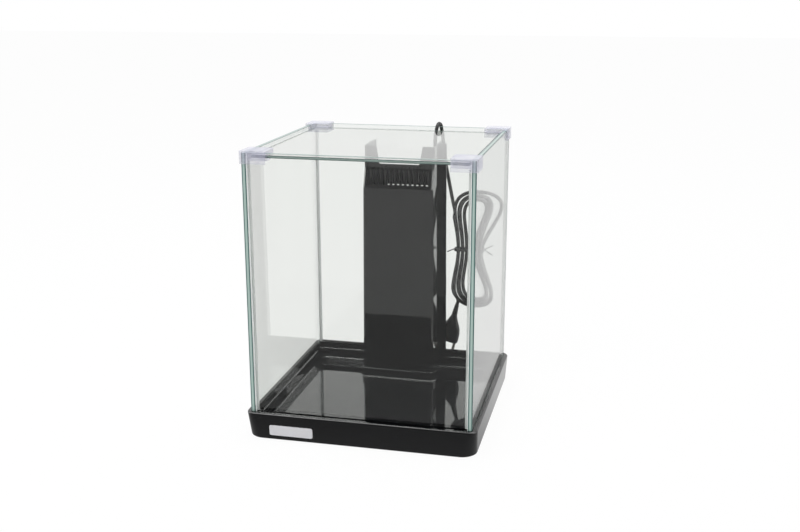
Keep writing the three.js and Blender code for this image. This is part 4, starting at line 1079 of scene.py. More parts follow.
@dataclass
class Studio:
    """Camera, lamps, surround and floor. A pair is where one brightness gives way to the next."""

    eye: Point = (0.2853, -1.151, 0.4943)
    lens: float = 47.25
    sensor: float = 36.0
    nearest: float = 0.05
    yaw: float = 13.124
    pitch: float = 15.156
    roll: float = -0.078
    daylight: float = 0.72
    glow: float = 0.95
    room: float = 0.115
    sheen: float = 0.85
    ceiling: float = 1.0
    softbox: float = 2.6
    dusk: tuple[float, float] = (-0.35, 0.1)
    flank: tuple[float, float] = (0.3, 0.42)
    skyline: tuple[float, float] = (-0.05, 0.03)
    overhead: tuple[float, float] = (0.5, 0.85)
    floor_size: float = 9.0
    floor_low: float = -0.004
    floor_top: float = -0.0002
    floor_colour: Colour = (0.86, 0.86, 0.86)
    floor_dusk: tuple[float, float] = (-0.25, 0.1)
    floor_far: float = 0.66
    aim: Point = (0, 0, 0.15)
    lamps: tuple[tuple[str, Point, float, float], ...] = (
        ("key_softbox", (-0.9, -1.1, 1.7), 1.3, 14.0),
        ("top_softbox", (0.2, 0.5, 2.0), 1.6, 16.0),
    )

    def camera(self) -> None:
        """Sets the camera where the photograph was taken from."""
        yaw, pitch, roll = (math.radians(a) for a in (self.yaw, self.pitch, self.roll))
        flat = math.cos(pitch)
        ahead = Vector((-math.sin(yaw) * flat, math.cos(yaw) * flat, -math.sin(pitch)))
        level = Vector((math.cos(yaw), math.sin(yaw), 0))
        upright = level.cross(ahead)
        right = level * math.cos(roll) + upright * math.sin(roll)
        up = right.cross(ahead)
        turn = Matrix((right, up, -ahead)).transposed().to_4x4()
        data = bpy.data.cameras.new("portrait_camera")
        data.lens = self.lens
        data.sensor_width = self.sensor
        data.clip_start = self.nearest
        camera = bpy.data.objects.new("portrait_camera", data)
        camera.matrix_world = Matrix.Translation(self.eye) @ turn
        bpy.context.scene.collection.objects.link(camera)
        bpy.context.scene.camera = camera
        bpy.context.scene.view_settings.view_transform = "Standard"

    def surround(self) -> None:
        """A world that is white to the eye, and a dim room with softboxes to gloss and glass."""
        recipe = Recipe(bpy.data.worlds.new("surround"))
        direct, gloss = recipe.sights()
        eye = recipe.node("ShaderNodeLightPath", out="Is Camera Ray")
        way = recipe.place("Generated")
        ahead = recipe.span(recipe.axis(1, way), *self.dusk, self.room, 1.0)
        level = recipe.axis(2, way)
        narrow = recipe.span(abs(recipe.axis(1, way)), *self.flank, 1.0, 0.0)
        aside = recipe.span(level, *self.skyline, 0.0, self.softbox) * narrow
        above = recipe.span(level, *self.overhead, 0.0, self.ceiling)
        seen = ahead.top(aside).top(above)
        plain = (1.0 - direct - gloss) * self.daylight
        strength = (direct * seen).top(eye) + gloss * seen * self.sheen + plain
        values = {"Color": (1, 1, 1, 1), "Strength": strength}
        bpy.context.scene.world = recipe.done(recipe.node("ShaderNodeBackground", None, values))

    def lamp(self, name: str, place: Point, size: float, power: float) -> None:
        """One square softbox that faces the tank.

        Args:
            name: the lamp's name.
            place: where it stands.
            size: the length of its side.
            power: its power in watts.
        """
        data = bpy.data.lights.new(name, "AREA")
        data.size = size
        data.energy = power
        lamp = bpy.data.objects.new(name, data)
        lamp.location = place
        lamp.rotation_euler = (Vector(self.aim) - Vector(place)).to_track_quat("-Z", "Y").to_euler()
        bpy.context.scene.collection.objects.link(lamp)

    def floor(self) -> None:
        """A pale floor that keeps the tank's soft shadow."""
        low = (-self.floor_size, -self.floor_size, self.floor_low)
        high = (self.floor_size, self.floor_size, self.floor_top)
        sheet = Workpiece.block("studio_floor", low, high)
        recipe = Recipe(bpy.data.materials.new("studio_floor_white"))
        direct, gloss = recipe.sights()
        near = recipe.span(recipe.axis(1), *self.floor_dusk, self.room, self.floor_far)
        lit = recipe.node("ShaderNodeBsdfDiffuse", None, {"Color": (*self.floor_colour, 1)})
        shade = recipe.mixed(direct + gloss * near, (0.0, 0.0, 0.0), (1.0, 1.0, 1.0))
        white = recipe.node("ShaderNodeEmission", None, {"Color": shade, "Strength": 1.0})
        share = (direct + gloss) * self.glow
        surface = recipe.node("ShaderNodeMixShader", None, {0: share, 1: lit, 2: white})
        sheet.obj.data.materials.append(recipe.done(surface))

    def build(self) -> None:
        """Sets up the whole studio."""
        self.camera()
        self.surround()
        self.floor()
        for lamp in self.lamps:
            self.lamp(*lamp)


# ---------- the mains lead ----------


@dataclass
class MainsLead:
    """The lead from the column's gland over the rear pane to the tied hank and its plug."""

    diameter: float = 0.0045
    exit: Point = (0.0355, 0.111, 0.2856)
    waist: Point = (0.076, 0.136, 0.1635)
    half: float = 0.0646
    pitch: float = 0.0055
    layer: float = 0.0053
    loops: float = 4.2
    loop_points: int = 24
    overrun: float = 0.2
    crossing: float = 0.25
    first_step: float = 0.002
    innermost: float = 0.0029
    bulge: float = 0.024
    spread: float = 0.0075
    lean: float = 0.008
    loose: float = 0.009
    loose_from: float = 1.1
    loose_to: float = 0.75
    start: float = 150.0
    round_steps: int = 5
    bend_steps: int = 6
    length_samples: int = 13
    gland_seat: float = 0.2763
    neck_reach: float = 1.1
    neck_ribs: int = 5
    grips: int = 4
    grip_pitch: float = 0.0032
    plug_tilt: float = 13.5
    plug_place: Point = (0.061, 0.141, 0.089)
    over_pane: tuple[Point, ...] = (
        (35.5, 111, 290.1),
        (35.6, 111, 300),
        (35.9, 111.4, 307),
        (36.3, 112.7, 314.5),
        (36.9, 115.4, 321.2),
        (37.5, 118.6, 324),
        (38.1, 122.5, 325),
        (38.8, 126.5, 324),
        (39.5, 129.7, 321.2),
        (40.3, 132.2, 314.5),
        (41.2, 133, 305),
        (42.6, 133.2, 292),
        (45, 133.4, 277),
        (48, 133.8, 261),
        (51.3, 134.4, 244),
        (54.8, 135.2, 226),
        (57.6, 135.8, 212),
    )
    to_plug: tuple[Point, ...] = ((56.7, 141.3, 103.4), (60.3, 141.1, 98.4))

    def hank_point(self, loops: float) -> Vector:
        """A point of the hank.

        Args:
            loops: how many loops lie before it.

        Returns:
            The point on the lead's centreline.
        """
        half = (self.loops - self.overrun) / 2
        nest = abs(half - loops)
        angle = math.radians(self.start) + 2 * math.pi * loops
        side, rise = math.cos(angle), math.sin(angle)
        wide = (self.bulge + self.spread * nest) * rise * rise
        opened = self.innermost + self.pitch * nest + wide
        last = eased(loops, self.loops - self.loose_from, self.loops - self.loose_to)
        slack = self.loose * last * max(0.0, side) * max(0.0, rise) * 2
        crossed = eased(loops, half - self.crossing, half + self.crossing)
        return Vector(
            (
                self.waist[0] + self.lean * rise * rise + side * opened + slack,
                self.waist[1] + self.layer * crossed,
                self.waist[2] + (self.half + self.pitch * nest) * rise,
            )
        )

    def route(self) -> list[Vector]:
        """The lead's centreline.

        Returns:
            Its points from the gland to the plug.
        """
        count = round(self.loop_points * self.loops)
        hank = [self.hank_point(self.loops * i / count) for i in range(count + 1)]
        way_in = (self.hank_point(self.first_step) - hank[0]).normalized()
        tilt = math.radians(self.plug_tilt)
        down = Vector((-math.sin(tilt), 0, -math.cos(tilt)))
        plug = Vector(self.plug_place)
        over = [Vector(mm(*point)) for point in self.over_pane]
        run = [Vector(self.exit), *over, hank[0] - way_in * self.diameter]
        neck = [plug - down * self.diameter * self.neck_reach, plug - down * FIT]
        return run + hank + [Vector(mm(*point)) for point in self.to_plug] + neck

    def cord(self, route: list[Vector]) -> tuple[bpy.types.Object, float]:
        """The lead's sheath on its centreline.

        Args:
            route: the centreline's points.

        Returns:
            The curve and its length.
        """
        data = bpy.data.curves.new("mains_lead", "CURVE")
        data.dimensions = "3D"
        data.bevel_depth = self.diameter / 2
        data.bevel_resolution = self.round_steps
        data.resolution_u = self.bend_steps
        data.use_fill_caps = True
        spline = data.splines.new("BEZIER")
        spline.bezier_points.add(len(route) - 1)
        for i, (knot, here) in enumerate(zip(spline.bezier_points, route)):
            back = route[max(0, i - 1)]
            on = route[min(len(route) - 1, i + 1)]
            way = (on - back).normalized()
            knot.co = here
            knot.handle_left_type = knot.handle_right_type = "FREE"
            knot.handle_left = here - way * (here - back).length / 3
            knot.handle_right = here + way * (on - here).length / 3
        length = 0.0
        for a, b in zip(spline.bezier_points, spline.bezier_points[1:]):
            line = interpolate_bezier(
                a.co, a.handle_right, b.handle_left, b.co, self.length_samples
            )
            length += sum((q - p).length for p, q in zip(line, line[1:]))
        data.materials.append(SHEATH.material())
        obj = bpy.data.objects.new("mains_lead", data)
        bpy.context.scene.collection.objects.link(obj)
        settle(obj, Body.TANK, ["lead_run", "lead_hank", "lead_tail"])
        return obj, length

    def gland(self) -> bpy.types.Object:
        """The ribbed gland on the junction box.

        Returns:
            The finished object.
        """
        profile = [(0.0, 4.5), (0.4, 4.6), (2.6, 4.6), (3.0, 4.3), (3.2, 3.6), (4.1, 3.55)]
        profile += [(4.3, 3.1), (5.0, 3.1), (5.2, 3.4), (6.1, 3.3), (6.3, 2.9), (7.0, 2.9)]
        profile += [(7.2, 3.1), (8.2, 3.0), (9.2, 2.6), (9.25, 2.2)]
        piece = Workpiece.turned("lead_gland_body", profile)
        piece.moved(moved_to(self.exit[0], self.exit[1], self.gland_seat))
        return piece.dress(BLACK_RUBBER, Body.TANK, "rubber_black", ["lead_gland"])

    def tie(self) -> bpy.types.Object:
        """The tie round the hank's waist."""
        piece = Workpiece.from_node("cord_tie", "cord_tie_body").soften(0.0003, 2)
        return piece.dress(BLACK_RUBBER, Body.TANK, "rubber_black", ["cord_tie"])

    def plug(self) -> bpy.types.Object:
        """The flat two-pin plug with its ribbed neck, made upright and then hung in its place.

        Returns:
            The finished object.
        """
        shape = [(-52.0, 12.2, 5.4), (-51.4, 12.9, 6.3), (-50.4, 13.2, 6.6), (-45.0, 13.2, 6.7)]
        shape += [(-40.0, 12.9, 6.7), (-35.0, 12.0, 6.7), (-31.0, 10.6, 6.6), (-28.0, 9.0, 6.3)]
        shape += [(-25.0, 7.4, 5.7), (-22.0, 6.0, 5.0), (-19.5, 5.0, 4.4), (-17.5, 4.2, 4.0)]
        shape += [(-16.0, 3.2, 3.2)]
        body = Workpiece.stack("plug_shell", (0, 0), levels_of(shape), 4.6 * MM, 8)
        neck = [(-17.5, 3.4)]
        lowest, rib_pitch, widest, taper = -16.6, 3.3, 3.9, 0.26
        for i in range(self.neck_ribs):
            z, r = lowest + rib_pitch * i, widest - taper * i
            neck += [(z, r), (z + 1.7, r - 0.05), (z + 1.8, r - 0.8), (z + 3.1, r - 0.85)]
        neck += [(0.25, 2.7), (0.3, 2.3)]
        body.weld(Workpiece.turned("plug_neck", neck, 40))
        for side in (-1, 1):
            low = mm(-9.5, side * 6.9 - 0.8, -43.5)
            grip = Workpiece.block("grip_groove", low, mm(9.5, side * 6.9 + 0.8, -42.3))
            places = [moved_to(z=self.grip_pitch * i) for i in range(1, self.grips)]
            body.cut(grip.gathered([grip.copy("grip_groove", place) for place in places]))
        place = moved_to(*self.plug_place) @ turned_by(self.plug_tilt, "Y")
        body.moved(place).soften(0.0003, 2, 30.0)
        return body.dress(PLUG_VINYL, Body.TANK, "cable_black", ["plug_body"], 40.0)

    def build(self) -> None:
        """Makes the lead and what is on it."""
        cord, length = self.cord(self.route())
        pieces = [self.gland(), self.tie(), self.plug()]
        for side in ("left", "right"):
            pieces.append(refined(f"plug_pin_{side}", NICKEL, slot="nickel", edge=0.0002))
        LOG.info("lead is %.3f m long", length)


# ---------- base tray ----------


@dataclass
class BaseTray:
    """The moulded tray with its dish, groove, plinth, badge plate and feet."""

    half: float = 0.125
    lip: float = 0.1197
    ground: float = 0.0008
    foot_reach: float = 0.105
    plinth_middle: float = 0.088
    pocket_half: float = 0.1262
    pocket_top: float = 0.0077
    rib: float = 0.0012
    boss: float = 0.011
    seat: float = 0.0083
    seat_top: float = 0.0027
    core_half: tuple[float, float] = (0.0444, 0.0254)

    def dish(self) -> Workpiece:
        """The cutter for the dish: filleted floor, leaning wall and a small moulded step.

        Returns:
            The cutter.
        """
        rows = [(10.7, 113.8), (10.79, 114.47), (11.05, 115.1), (11.46, 115.64), (12.0, 116.05)]
        rows += [(12.63, 116.31), (13.3, 116.4), (22.2, 117.55), (22.65, 117.7), (23.0, 117.95)]
        rows += [(23.3, 118.35), (23.5, 118.85), (23.7, 119.15), (24.4, 119.3), (31.6, 119.4)]
        return Workpiece.stack("dish_cutter", (0, 0), levels_of(rows), 0.008, 12)

    def groove(self) -> Workpiece:
        """The cutter for the groove that the panes stand in.

        Returns:
            The cutter.
        """
        outer, lip = self.half + FIT, self.lip
        ring = Workpiece.block("groove_cutter", (-outer, -outer, 0.024), (outer, outer, 0.034))
        return ring.cut(Workpiece.block("groove_core", (-lip, -lip, 0.02), (lip, lip, 0.04)))

    def plinth(self) -> Workpiece:
        """The low plinth under the column, with a flared foot and a rounded shoulder.

        Returns:
            The plinth.
        """
        rows = [(8.3, 49.4, 30.4), (10.7, 49.4, 30.4), (10.9, 48.8, 29.8), (11.3, 48.2, 29.2)]
        rows += [(11.9, 47.8, 28.8), (12.9, 47.5, 28.5), (20.9, 47.3, 28.3), (21.5, 47.1, 28.1)]
        rows += [(21.85, 46.7, 27.7), (22.0, 46.2, 27.2)]
        middle = (0, self.plinth_middle)
        return Workpiece.stack("tray_plinth", middle, levels_of(rows), 0.0072, 8)

    def hollow(self) -> list[Workpiece]:
        """The cutters for the hollow underside round its ribs and foot bosses.

        Returns:
            The cutters.
        """
        wide, rib, ground = self.pocket_half, self.rib, self.ground
        levels = [Level(z, wide, wide) for z in (-0.002, self.pocket_top)]
        pocket = Workpiece.stack("pocket", (0, 0), levels, 0.015, 12)
        pocket.cut(
            Workpiece.block("rib", (-0.14, -rib, ground), (0.14, rib, 0.012)),
            Workpiece.block("rib", (-rib, -0.14, ground), (rib, 0.14, 0.012)),
        )
        seats = []
        for sx in (-1, 1):
            for sy in (-1, 1):
                place = (sx * self.foot_reach, sy * self.foot_reach)
                pocket.cut(Workpiece.bar("boss", self.boss, (*place, ground), (*place, 0.02), 40))
                low, high = (*place, -0.003), (*place, self.seat_top)
                seats.append(Workpiece.bar("foot_seat", self.seat, low, high, 40))
        levels = [Level(z, *self.core_half) for z in (-0.003, 0.019)]
        core = Workpiece.stack("plinth_hollow", (0, self.plinth_middle), levels, 0.0042, 4)
        return [pocket, core, *seats]

    def shell(self) -> Workpiece:
        """The outside: wide corners at the foot that grow tighter up to the rounded rim.

        Returns:
            The closed outside.
        """
        rows = [(0.8, 128.0), (0.95, 128.5), (1.35, 128.95), (2.0, 129.2)]
        foot = Workpiece.stack("tray_foot", (0, 0), levels_of(rows), 0.0168, 16)
        rows = [(29.0, 130.5), (29.6, 130.41), (30.15, 130.12), (30.55, 129.76), (30.85, 129.28)]
        rows += [(31.0, 128.5)]
        rim = Workpiece.stack("base_tray_moulding", (0, 0), levels_of(rows), 0.0105, 16)
        rim.gathered([foot]).edit()
        rim.pick_faces(lambda c, n: abs(n.z) > SQUARE and 0.0015 < c.z < 0.0295)
        bpy.ops.mesh.bridge_edge_loops()
        bpy.ops.mesh.select_all(action="SELECT")
        bpy.ops.mesh.normals_make_consistent(inside=False)
        rim.leave()
        return rim

    def tray(self) -> bpy.types.Object:
        """The tray itself.

        Returns:
            The finished object.
        """
        tray = self.shell().cut(self.dish(), self.groove())
        tray.weld(self.plinth())
        tray.cut(*self.hollow())
        return tray.dress(TRAY_BLACK, Body.TANK, "gloss_black", ["base_tray"], 32.0)

    def badge(self) -> bpy.types.Object:
        """The bare silver plate on the front wall."""
        piece = Workpiece.from_node("badge_plate", "badge_plate_body").soften(0.00025, 3)
        return piece.dress(BADGE_SILVER, Body.TANK, "badge_silver", ["badge_plate"])

    def feet(self) -> None:
        """The four rubber pads."""
        profile = [(0.0, 7.6), (0.2, 7.9), (0.5, 8.0), (2.4, 8.0)]
        pad = Workpiece.turned("foot_pad_body", profile)
        for sy, end in ((-1, "front"), (1, "rear")):
            for sx, side in ((-1, "left"), (1, "right")):
                place = moved_to(sx * self.foot_reach, sy * self.foot_reach)
                foot = pad.copy(f"foot_pad_body_{end}_{side}", place)
                foot.dress(BLACK_RUBBER, Body.TANK, "rubber_black", [f"foot_pad_{end}_{side}"])
        bpy.data.objects.remove(pad.obj)

    def build(self) -> None:
        """Makes the tray and what is on it."""
        self.tray()
        self.badge()
        self.feet()


# ---------- glass box ----------


@dataclass
class GlassBox:
    """Four panes with seamed edges and their silicone corners."""

    edge: float = 0.0004
    panes: dict[str, Axis] = field(
        default_factory=lambda: {
            "front_pane": Axis.Y,
            "rear_pane": Axis.Y,
            "left_pane": Axis.X,
            "right_pane": Axis.X,
        }
    )

    @staticmethod
    def sheet(
        node: str, facing: Axis, glass: Finish, rim: Finish, body: Body, edge: float
    ) -> bpy.types.Object:
        """One sheet of glass: clear faces, green ground edges with painted light and, on an end
        pane, bonded ends with a painted glow.

        Args:
            node: the CAD node.
            facing: the axis that its two clear faces look along.
            glass: the clear finish.
            rim: the finish of its edges.
            body: what it moves with.
            edge: radius of its seamed edges.

        Returns:
            The finished object.
        """
        piece = Workpiece.from_node(node, node + "_sheet").soften(edge, 2)
        obj = piece.dress(glass, body, "glass", [node], 30.0)
        obj.data.materials.append(rim.material())
        obj.data.materials.append(BONDED_EDGE_GLOW.material())
        for face in obj.data.polygons:
            # bonded end faces take the glowing edge finish, a painted glow
            bonded = facing is Axis.Y and abs(face.normal.x) > 0.5
            face.material_index = 0 if abs(face.normal[facing.value]) > 0.9 else 1 + bonded
        return obj

    def build(self) -> None:
        """Makes the panes and seams."""
        for node, facing in self.panes.items():
            rim = SIDE_EDGE if facing is Axis.X else END_EDGE
            self.sheet(node, facing, PANE_GLASS, rim, Body.TANK, self.edge)
        for corner in ("front_left", "front_right", "rear_left", "rear_right"):
            refined(f"corner_seam_{corner}", SEALANT, slot="silicone", edge=0.0001, smooth=50.0)


# ---------- cover ----------


@dataclass
class Cover:
    """The loose cover glass and the four clips that hold it."""

    half: float = 0.125
    leg: float = 0.027
    skin: float = 0.0021
    pane: float = 0.0053
    seat: float = 0.1168
    ledge: float = 0.1078
    below: float = 0.30

    def clip(self) -> Workpiece:
        """The clip of the rear right corner.

        Returns:
            The clip.
        """
        inner = self.half - self.leg
        out = self.half + self.skin
        mid, reach = (inner + out) / 2, (out - inner) / 2
        rows = [(310.0, reach), (323.2, reach), (323.6, reach - 0.0002), (323.8, reach - 0.0006)]
        levels = [Level(z * MM, h, h) for z, h in rows]
        clip = Workpiece.stack("corner_clip_blank", (mid, mid), levels, 0.0018, 6)
        under = inner - 0.001
        face, wall, low = self.half + FIT, self.half - self.pane, self.below
        clip.cut(
            Workpiece.block("pane_slot_x", (wall, under, low), (face, face, 0.3218)),
            Workpiece.block("pane_slot_y", (under, wall, low), (face, face, 0.3218)),
            Workpiece.block("below", (under, under, low), (wall + 0.001, wall + 0.001, 0.3129)),
            Workpiece.block("cover_seat", (under, under, 0.3152), (self.seat, self.seat, 0.3188)),
            Workpiece.block("opening", (under, under, low), (self.ledge, self.ledge, 0.3170)),
        )
        return clip.soften(0.00035, 3, 40.0)

    def build(self) -> None:
        """Makes the cover and its clips."""
        GlassBox.sheet("cover_glass", Axis.Z, COVER_GLASS, COVER_EDGE, Body.COVER, 0.0004)
        first = self.clip()
        turns = {"rear_right": 0.0, "rear_left": 90.0, "front_left": 180.0, "front_right": 270.0}
        for corner, turn in turns.items():
            clip = first.copy(f"corner_clip_body_{corner}", turned_by(turn, "Z"))
            clip.dress(CLIP_PLASTIC, Body.COVER, "clip_clear", [f"corner_clip_{corner}"])
        bpy.data.objects.remove(first.obj)


# ---------- filter column ----------


@dataclass
class FilterColumn:
    """The black casing on the rear pane, with its riser, elbow, nozzle and bond strips."""

    foot: float = 0.0223
    face_top: float = 0.2535
    comb_top: float = 0.277
    top: float = 0.3015
    front: float = 0.062
    back: float = 0.1176
    half_foot: float = 0.045
    taper: float = 0.002
    lean: float = 0.007
    ease: float = 0.0006
    wall: float = 0.0025
    corner: float = 0.0022
    flange: tuple[float, float] = (0.0425, 0.051)
    flange_thick: float = 0.0022
    flange_top: float = 0.299
    slots: int = 13
    slot_pitch: float = 0.0059
    slot_half: tuple[float, float] = (0.0016, 0.00896)
    slot_round: float = 0.00153
    comb_edge: float = 0.0375
    corner_edge: float = 0.041
    baffle: tuple[float, float] = (0.0704, 0.0722)
    outlet: Point = (-0.0433, 0.1025, 0.246)
    outlet_bore: float = 0.0073

    def half_at(self, z: float) -> float:
        """Half width of the casing at a height."""
        return self.half_foot - self.taper * (z - self.foot) / (self.top - self.foot)

    def stack(
        self, name: str, wall: float, low: float, high: float, back: float, corner: float
    ) -> Workpiece:
        """The casing's outside, or its inside when drawn in by a wall.

        Args:
            name: the piece's name.
            wall: how far it is drawn in.
            low: height of its foot.
            high: height of its top.
            back: where its back lies.
            corner: width of its flat corners.

        Returns:
            The piece, with a short row on both sides of each bend that keeps the faces flat.
        """
        depth = (back - self.front - wall) / 2
        centre = (0.0, back - depth)
        ease = self.ease
        shift = self.lean * ease / (self.comb_top - self.face_top)
        rows = [
            (low, 0.0),
            (self.face_top - ease, 0.0),
            (self.face_top + ease, shift),
            (self.comb_top - ease, self.lean - shift),
            (self.comb_top + ease, self.lean),
            (high, self.lean),
        ]
        levels = [Level(z, self.half_at(z) - wall, depth, lean) for z, lean in rows]
        return Workpiece.stack(name, centre, levels, corner, 1)

    def on_comb(self, piece: Workpiece) -> Workpiece:
        """Lays a cutter made round the origin onto the leaning comb face.

        Args:
            piece: the cutter.

        Returns:
            The same piece.
        """
        lean = math.degrees(math.atan2(self.lean, self.comb_top - self.face_top))
        middle = (0.0, self.front + self.lean / 2, (self.face_top + self.comb_top) / 2)
        return piece.moved(moved_to(*middle) @ turned_by(-lean, "X"))

    def outside(self) -> Workpiece:
        """The channel with its two rear flanges.

        Returns:
            The bare channel.
        """
        shell = self.stack(
            "column_casing_moulding", 0.0, self.foot, self.top, self.back, self.corner
        )
        low, high, back = self.foot - 0.001, self.top + 0.001, self.back + 0.002
        shell.cut(self.stack("inside", self.wall, low, high, back, 0.0006))
        for side in (-1, 1):
            near, far = sorted(side * x for x in self.flange)
            front = self.back - self.flange_thick
            flange = Workpiece.block(
                "flange", (near, front, self.foot), (far, self.back, self.flange_top)
            )
            flange.edit()
            flange.pick_faces(lambda c, n: n.z > 0.9)
            bpy.ops.transform.translate(value=(-side * self.taper, 0, 0))
            flange.leave()
            shell.weld(flange)
        return shell

    def comb(self) -> Workpiece:
        """The cutter for the comb's slots.

        Returns:
            The cutter, on the leaning face.
        """
        levels = [Level(z, *self.slot_half) for z in (-0.006, 0.006)]
        slot = Workpiece.stack("slot", (0, 0), levels, self.slot_round, 8)
        slot.moved(moved_to(z=0.0011) @ turned_by(90, "X"))
        middle = (self.slots - 1) / 2
        places = [moved_to((i - middle) * self.slot_pitch) for i in range(1, self.slots)]
        rest = [slot.copy("slot", place) for place in places]
        slot.moved(moved_to(-middle * self.slot_pitch)).gathered(rest)
        return self.on_comb(slot)

    def casing(self) -> bpy.types.Object:
        """The channel-shaped moulding.

        Returns:
            The finished object.
        """
        shell = self.outside()
        length = math.hypot(self.comb_top - self.face_top, self.lean)
        shell.cut(self.on_comb(self.recess(length)))
        shell.cut(self.comb())
        shell.cut(self.notch())
        across = self.half_at(self.comb_top) - self.wall / 2
        front, back = self.baffle
        low = (-across, front, self.face_top + 0.0039)
        high = (across, back, self.comb_top + self.wall / 2)
        shell.weld(Workpiece.block("baffle", low, high))
        x, y, z = self.outlet
        ends = (x - 0.01, y, z), (x + 0.01, y, z)
        shell.cut(Workpiece.bar("outlet_hole", self.outlet_bore, *ends))
        shell.soften(0.00045, 3, 40.0)
        casing = shell.dress(GLOSS_BLACK, Body.TANK, "gloss_black", ["column_casing"], 35.0)
        # the slots' sides take the paler comb finish as a painted highlight
        casing.data.materials.append(COMB_PAINTED_HIGHLIGHT.material())
        casing.data.materials.append(CORNER_POLISH.material())
        for face in casing.data.polygons:
            face.material_index = self.finish_of(face.center, face.normal)
        return casing

    def finish_of(self, place: Vector, normal: Vector) -> int:
        """Which of the casing's finishes a face takes.

        Args:
            place: the face's middle.
            normal: which way it looks.

        Returns:
            0 for the gloss, 1 on the slots' sides, whose paler colour is a painted highlight on the
            ribs, 2 on the leaning corners.
        """
        tall = self.face_top + 0.001 < place.z < self.comb_top - 0.001
        deep = self.front + 0.001 < place.y < self.front + self.lean + self.wall
        if not (tall and deep):
            return 0
        if abs(place.x) < self.comb_edge:
            return int(abs(normal.x) > 0.4)
        slanted = 0.55 < abs(normal.x) < 0.85 and normal.y < -0.5
        return 2 * int(slanted and abs(place.x) > self.corner_edge)

    def recess(self, length: float) -> Workpiece:
        """The shallow field that the slots stand in.

        Args:
            length: the leaning face's length.

        Returns:
            The cutter.
        """
        half = self.half_at(self.comb_top) - 0.0034
        tall = (length - 0.0022) / 2
        return Workpiece.block("recess", (-half, -0.004, -tall), (half, 0.0008, tall))

    def notch(self) -> Workpiece:
        """The cutter for the wide notch in the casing's top.

        Returns:
            The cutter.
        """
        low, high, rim = 0.2818, 0.3025, 0.0012
        piece = Workpiece.block("notch", (-0.025, 0.064, low), (0.025, 0.078, high))
        piece.edit()
        piece.pick_faces(lambda c, n: n.z > 0.9)
        bpy.ops.transform.resize(value=(1.16, 1, 1), center_override=(0, 0.07, high))
        piece.pick_edges(lambda a, b: max(a.z, b.z) < low + rim and abs(a.y - b.y) > 0.005)
        bpy.ops.mesh.bevel(offset=rim, segments=5, affect="EDGES")
        piece.leave()
        return piece

    def build(self) -> None:
        """Makes the casing and what stands in it."""
        self.casing()
        refined("outlet_nozzle", GLOSS_BLACK, Body.NOZZLE, "gloss_black", 0.0003, 40.0)
        refined("outlet_elbow", SATIN_BLACK, slot="satin_black")
        refined("riser_tube", SMOKE_GREY, slot="grey_plastic")
        for side in ("left", "right"):
            refined(f"column_bond_{side}", SEALANT, slot="silicone", edge=0.0004)


# ---------- what the column holds ----------


@dataclass
class PumpUnit:
    """The pump with its rotor, intake and suction cups."""

    fixed: dict[str, tuple[Finish, str]] = field(
        default_factory=lambda: {
            "pump_housing": (SATIN_BLACK, "satin_black"),
            "pump_intake_cover": (SATIN_BLACK, "satin_black"),
            "pump_stator": (RESIN, "potting"),
            "impeller_shaft": (STEATITE, "ceramic"),
            "shaft_bush_front": (BLACK_RUBBER, "rubber_black"),
            "shaft_bush_rear": (BLACK_RUBBER, "rubber_black"),
            "pump_suction_cup_left": (BLACK_RUBBER, "rubber_black"),
            "pump_suction_cup_right": (BLACK_RUBBER, "rubber_black"),
        }
    )

    def build(self) -> None:
        """Makes the pump's pieces."""
        for node, (finish, slot) in self.fixed.items():
            refined(node, finish, slot=slot, edge=0.0003)
        refined("rotor_magnet", FERRITE, Body.ROTOR, "magnet")
        refined("impeller_wheel", SMOKE_GREY, Body.ROTOR, "grey_plastic", 0.0002)
        refined("flow_gate", SMOKE_GREY, Body.GATE, "grey_plastic", 0.0003)


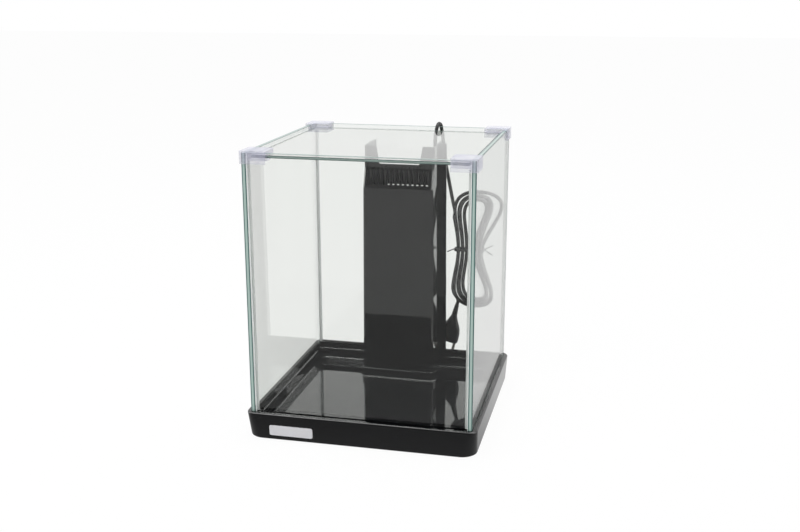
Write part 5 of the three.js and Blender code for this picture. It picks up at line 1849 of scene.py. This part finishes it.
@dataclass
class MediaStack:
    """The basket with its sponge, wadding and porous ceramic."""

    slack: float = 0.00016
    edge: float = 0.0016
    cuts: int = 10
    lump_size: float = 0.006
    lump_height: float = 0.0006
    lump_middle: float = 0.9

    def pad(self, node: str, finish: Finish, slot: str) -> None:
        """A cut foam block with soft, slightly crowned faces.

        Args:
            node: the CAD node.
            finish: what it is made of.
            slot: the record's material slot.
        """
        low, high = (Vector(corner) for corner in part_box(node))
        inset = Vector((self.slack, self.slack, self.slack))
        piece = Workpiece.block(node + "_pad", low + inset, high - inset)
        piece.edit()
        bpy.ops.mesh.select_all(action="SELECT")
        bpy.ops.mesh.bevel(offset=self.edge, segments=3, affect="EDGES")
        bpy.ops.mesh.select_all(action="SELECT")
        bpy.ops.mesh.subdivide(number_cuts=self.cuts)
        piece.leave()
        texture = bpy.data.textures.new(node + "_lumps", "CLOUDS")
        texture.noise_scale = self.lump_size
        piece.modified(
            "DISPLACE",
            texture=texture,
            texture_coords="LOCAL",
            strength=self.lump_height,
            mid_level=self.lump_middle,
        )
        piece.dress(finish, Body.BASKET, slot, [node], 60.0)

    def build(self) -> None:
        """Makes the basket and its fillings."""
        refined("media_basket", SATIN_BLACK, Body.BASKET, "satin_black", 0.0003)
        refined("bio_media", BIO_STONE, Body.BASKET, "bio_ceramic", 0.0012)
        self.pad("coarse_sponge", COARSE_FOAM, "foam_blue")
        self.pad("fine_sponge", WADDING, "foam_white")


@dataclass
class Heater:
    """The slim submersible heater with its thermostat."""

    pieces: dict[str, tuple[Finish, str, float]] = field(
        default_factory=lambda: {
            "heater_tube": (TUBE_GLASS, "glass", 0.0),
            "heater_core": (STEATITE, "ceramic", 0.0001),
            "thermostat_strip": (BIMETAL, "bimetal", 0.0002),
            "heater_cap": (SATIN_BLACK, "satin_black", 0.0003),
            "heater_bracket": (SATIN_BLACK, "satin_black", 0.0003),
            "heater_suction_cup": (BLACK_RUBBER, "rubber_black", 0.0002),
            "junction_box": (SATIN_BLACK, "satin_black", 0.0004),
        }
    )

    def lead(self, node: str) -> None:
        """A short lead, its eight sides rounded."""
        piece = Workpiece.from_node(node, node + "_sheath").rounded(2)
        piece.dress(SHEATH, Body.TANK, "cable_black", [node], 60.0)

    def build(self) -> None:
        """Makes the heater, its dial and the two short leads."""
        for node, (finish, slot, edge) in self.pieces.items():
            refined(node, finish, slot=slot, edge=edge)
        refined("thermostat_dial", DIAL_RED, Body.DIAL, "dial_red", 0.0002)
        for node in ("pump_lead", "heater_lead"):
            self.lead(node)


def main() -> None:
    """Builds everything in order; the lead's length goes to the log."""
    logging.basicConfig(level=logging.INFO, format="%(name)s: %(message)s")
    Studio().build()
    makers = (MainsLead, BaseTray, GlassBox, Cover, FilterColumn, PumpUnit, MediaStack, Heater)
    for maker in makers:
        LOG.info("making %s", maker.__name__)
        maker().build()
    clear_bench()


if __name__ == "__main__":
    main()
